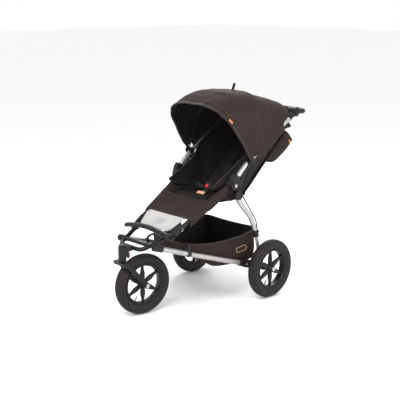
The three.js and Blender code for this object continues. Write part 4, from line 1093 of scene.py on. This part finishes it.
GRIP_R = 0.0153
bar_centre = P(0, 0.388, 0.927)
grip = tube("grip_sleeve", [bar_centre + Vector((x, 0, 0)) for x in np.linspace(-0.140, 0.140, 57)],
        lambda t: GRIP_R + 0.0003 * math.cos(t * 57 * math.pi), "grip_foam", 32)
fit(grip, "handlebar")


# ------------------------------------------------------------------ materials of the frame's own nodes
def node_material(name):
    if name.startswith(("side_tube", "handle_tube", "rear_leg", "axle_tube")):
        return "silver"
    if name.startswith(("hinge_bolt", "front_axle", "rear_hub_cap")):
        return "steel"
    if name == "footplate":
        return "plate_plastic"
    if name == "buckle_button":
        return "red_plastic"
    if name == "swivel_lock_knob":
        return "knob_plastic"
    if name in ("front_frame", "bumper_bar", "fork", "seat_tube_left", "seat_tube_right",
            "canopy_front_bow", "canopy_mid_bow"):
        return "black_paint"
    return "black_plastic"


for name, obj in frame["nodes"].items():
    obj.data.materials.clear()
    obj.data.materials.append(MATERIALS[node_material(name)])
    obj.data.polygons.foreach_set("material_index", [0] * len(obj.data.polygons))
    if "custom_normal" in obj.data.attributes:
        obj.data.attributes.remove(obj.data.attributes["custom_normal"])
    obj.data.polygons.foreach_set("use_smooth", [True] * len(obj.data.polygons))
    with_modifier(obj, "WELD", merge_threshold=0.00002)
    with_modifier(obj, "BEVEL", width=0.0009, segments=2, limit_method="ANGLE",
            angle_limit=math.radians(38),
            harden_normals=True, use_clamp_overlap=True)


# ------------------------------------------------------------------ camera, light and floor
CAMERA_AT = Vector((3.0403, -2.9664, 1.5320))
LOOK_AT = Vector((0.0, -0.0355, 0.5048))
camera_data = bpy.data.cameras.new("camera")
camera_data.lens = 75.7
camera_data.sensor_width = 36.0
camera_data.clip_end = 60
camera = bpy.data.objects.new("camera", camera_data)
camera.location = CAMERA_AT
camera.rotation_euler = (LOOK_AT - CAMERA_AT).to_track_quat("-Z", "Y").to_euler()
bpy.context.scene.collection.objects.link(camera)
bpy.context.scene.camera = camera

world = bpy.data.worlds.new("studio")
bpy.context.scene.world = world
world.use_nodes = True
world.node_tree.nodes["Background"].inputs[0].default_value = (1, 1, 1, 1)
world.node_tree.nodes["Background"].inputs[1].default_value = 1.0


def area_light(name, at, aim, size, power):
    data = bpy.data.lights.new(name, "AREA")
    data.shape = "DISK"
    data.size = size
    data.energy = power
    light = bpy.data.objects.new(name, data)
    light.location = at
    light.rotation_euler = (Vector(aim) - Vector(at)).to_track_quat("-Z", "Y").to_euler()
    bpy.context.scene.collection.objects.link(light)


area_light("key", (1.2, -2.6, 3.4), (0, 0, 0.5), 2.2, 105)
area_light("side", (3.4, 0.6, 1.8), (0, 0, 0.5), 2.0, 48)
area_light("back", (-1.8, 2.4, 2.6), (0, 0, 0.7), 2.0, 60)

floor_data = bpy.data.meshes.new("floor")
floor_data.from_pydata([(-30, -30, 0), (30, -30, 0), (30, 30, 0), (-30, 30, 0)], [], [(0, 1, 2, 3)])
floor = bpy.data.objects.new("floor", floor_data)
floor.location.z = -0.0008
bpy.context.scene.collection.objects.link(floor)
new_material("floor_white", (0.93, 0.93, 0.93), 0.9)
floor_data.materials.append(MATERIALS["floor_white"])
bpy.context.scene.view_settings.view_transform = "Standard"
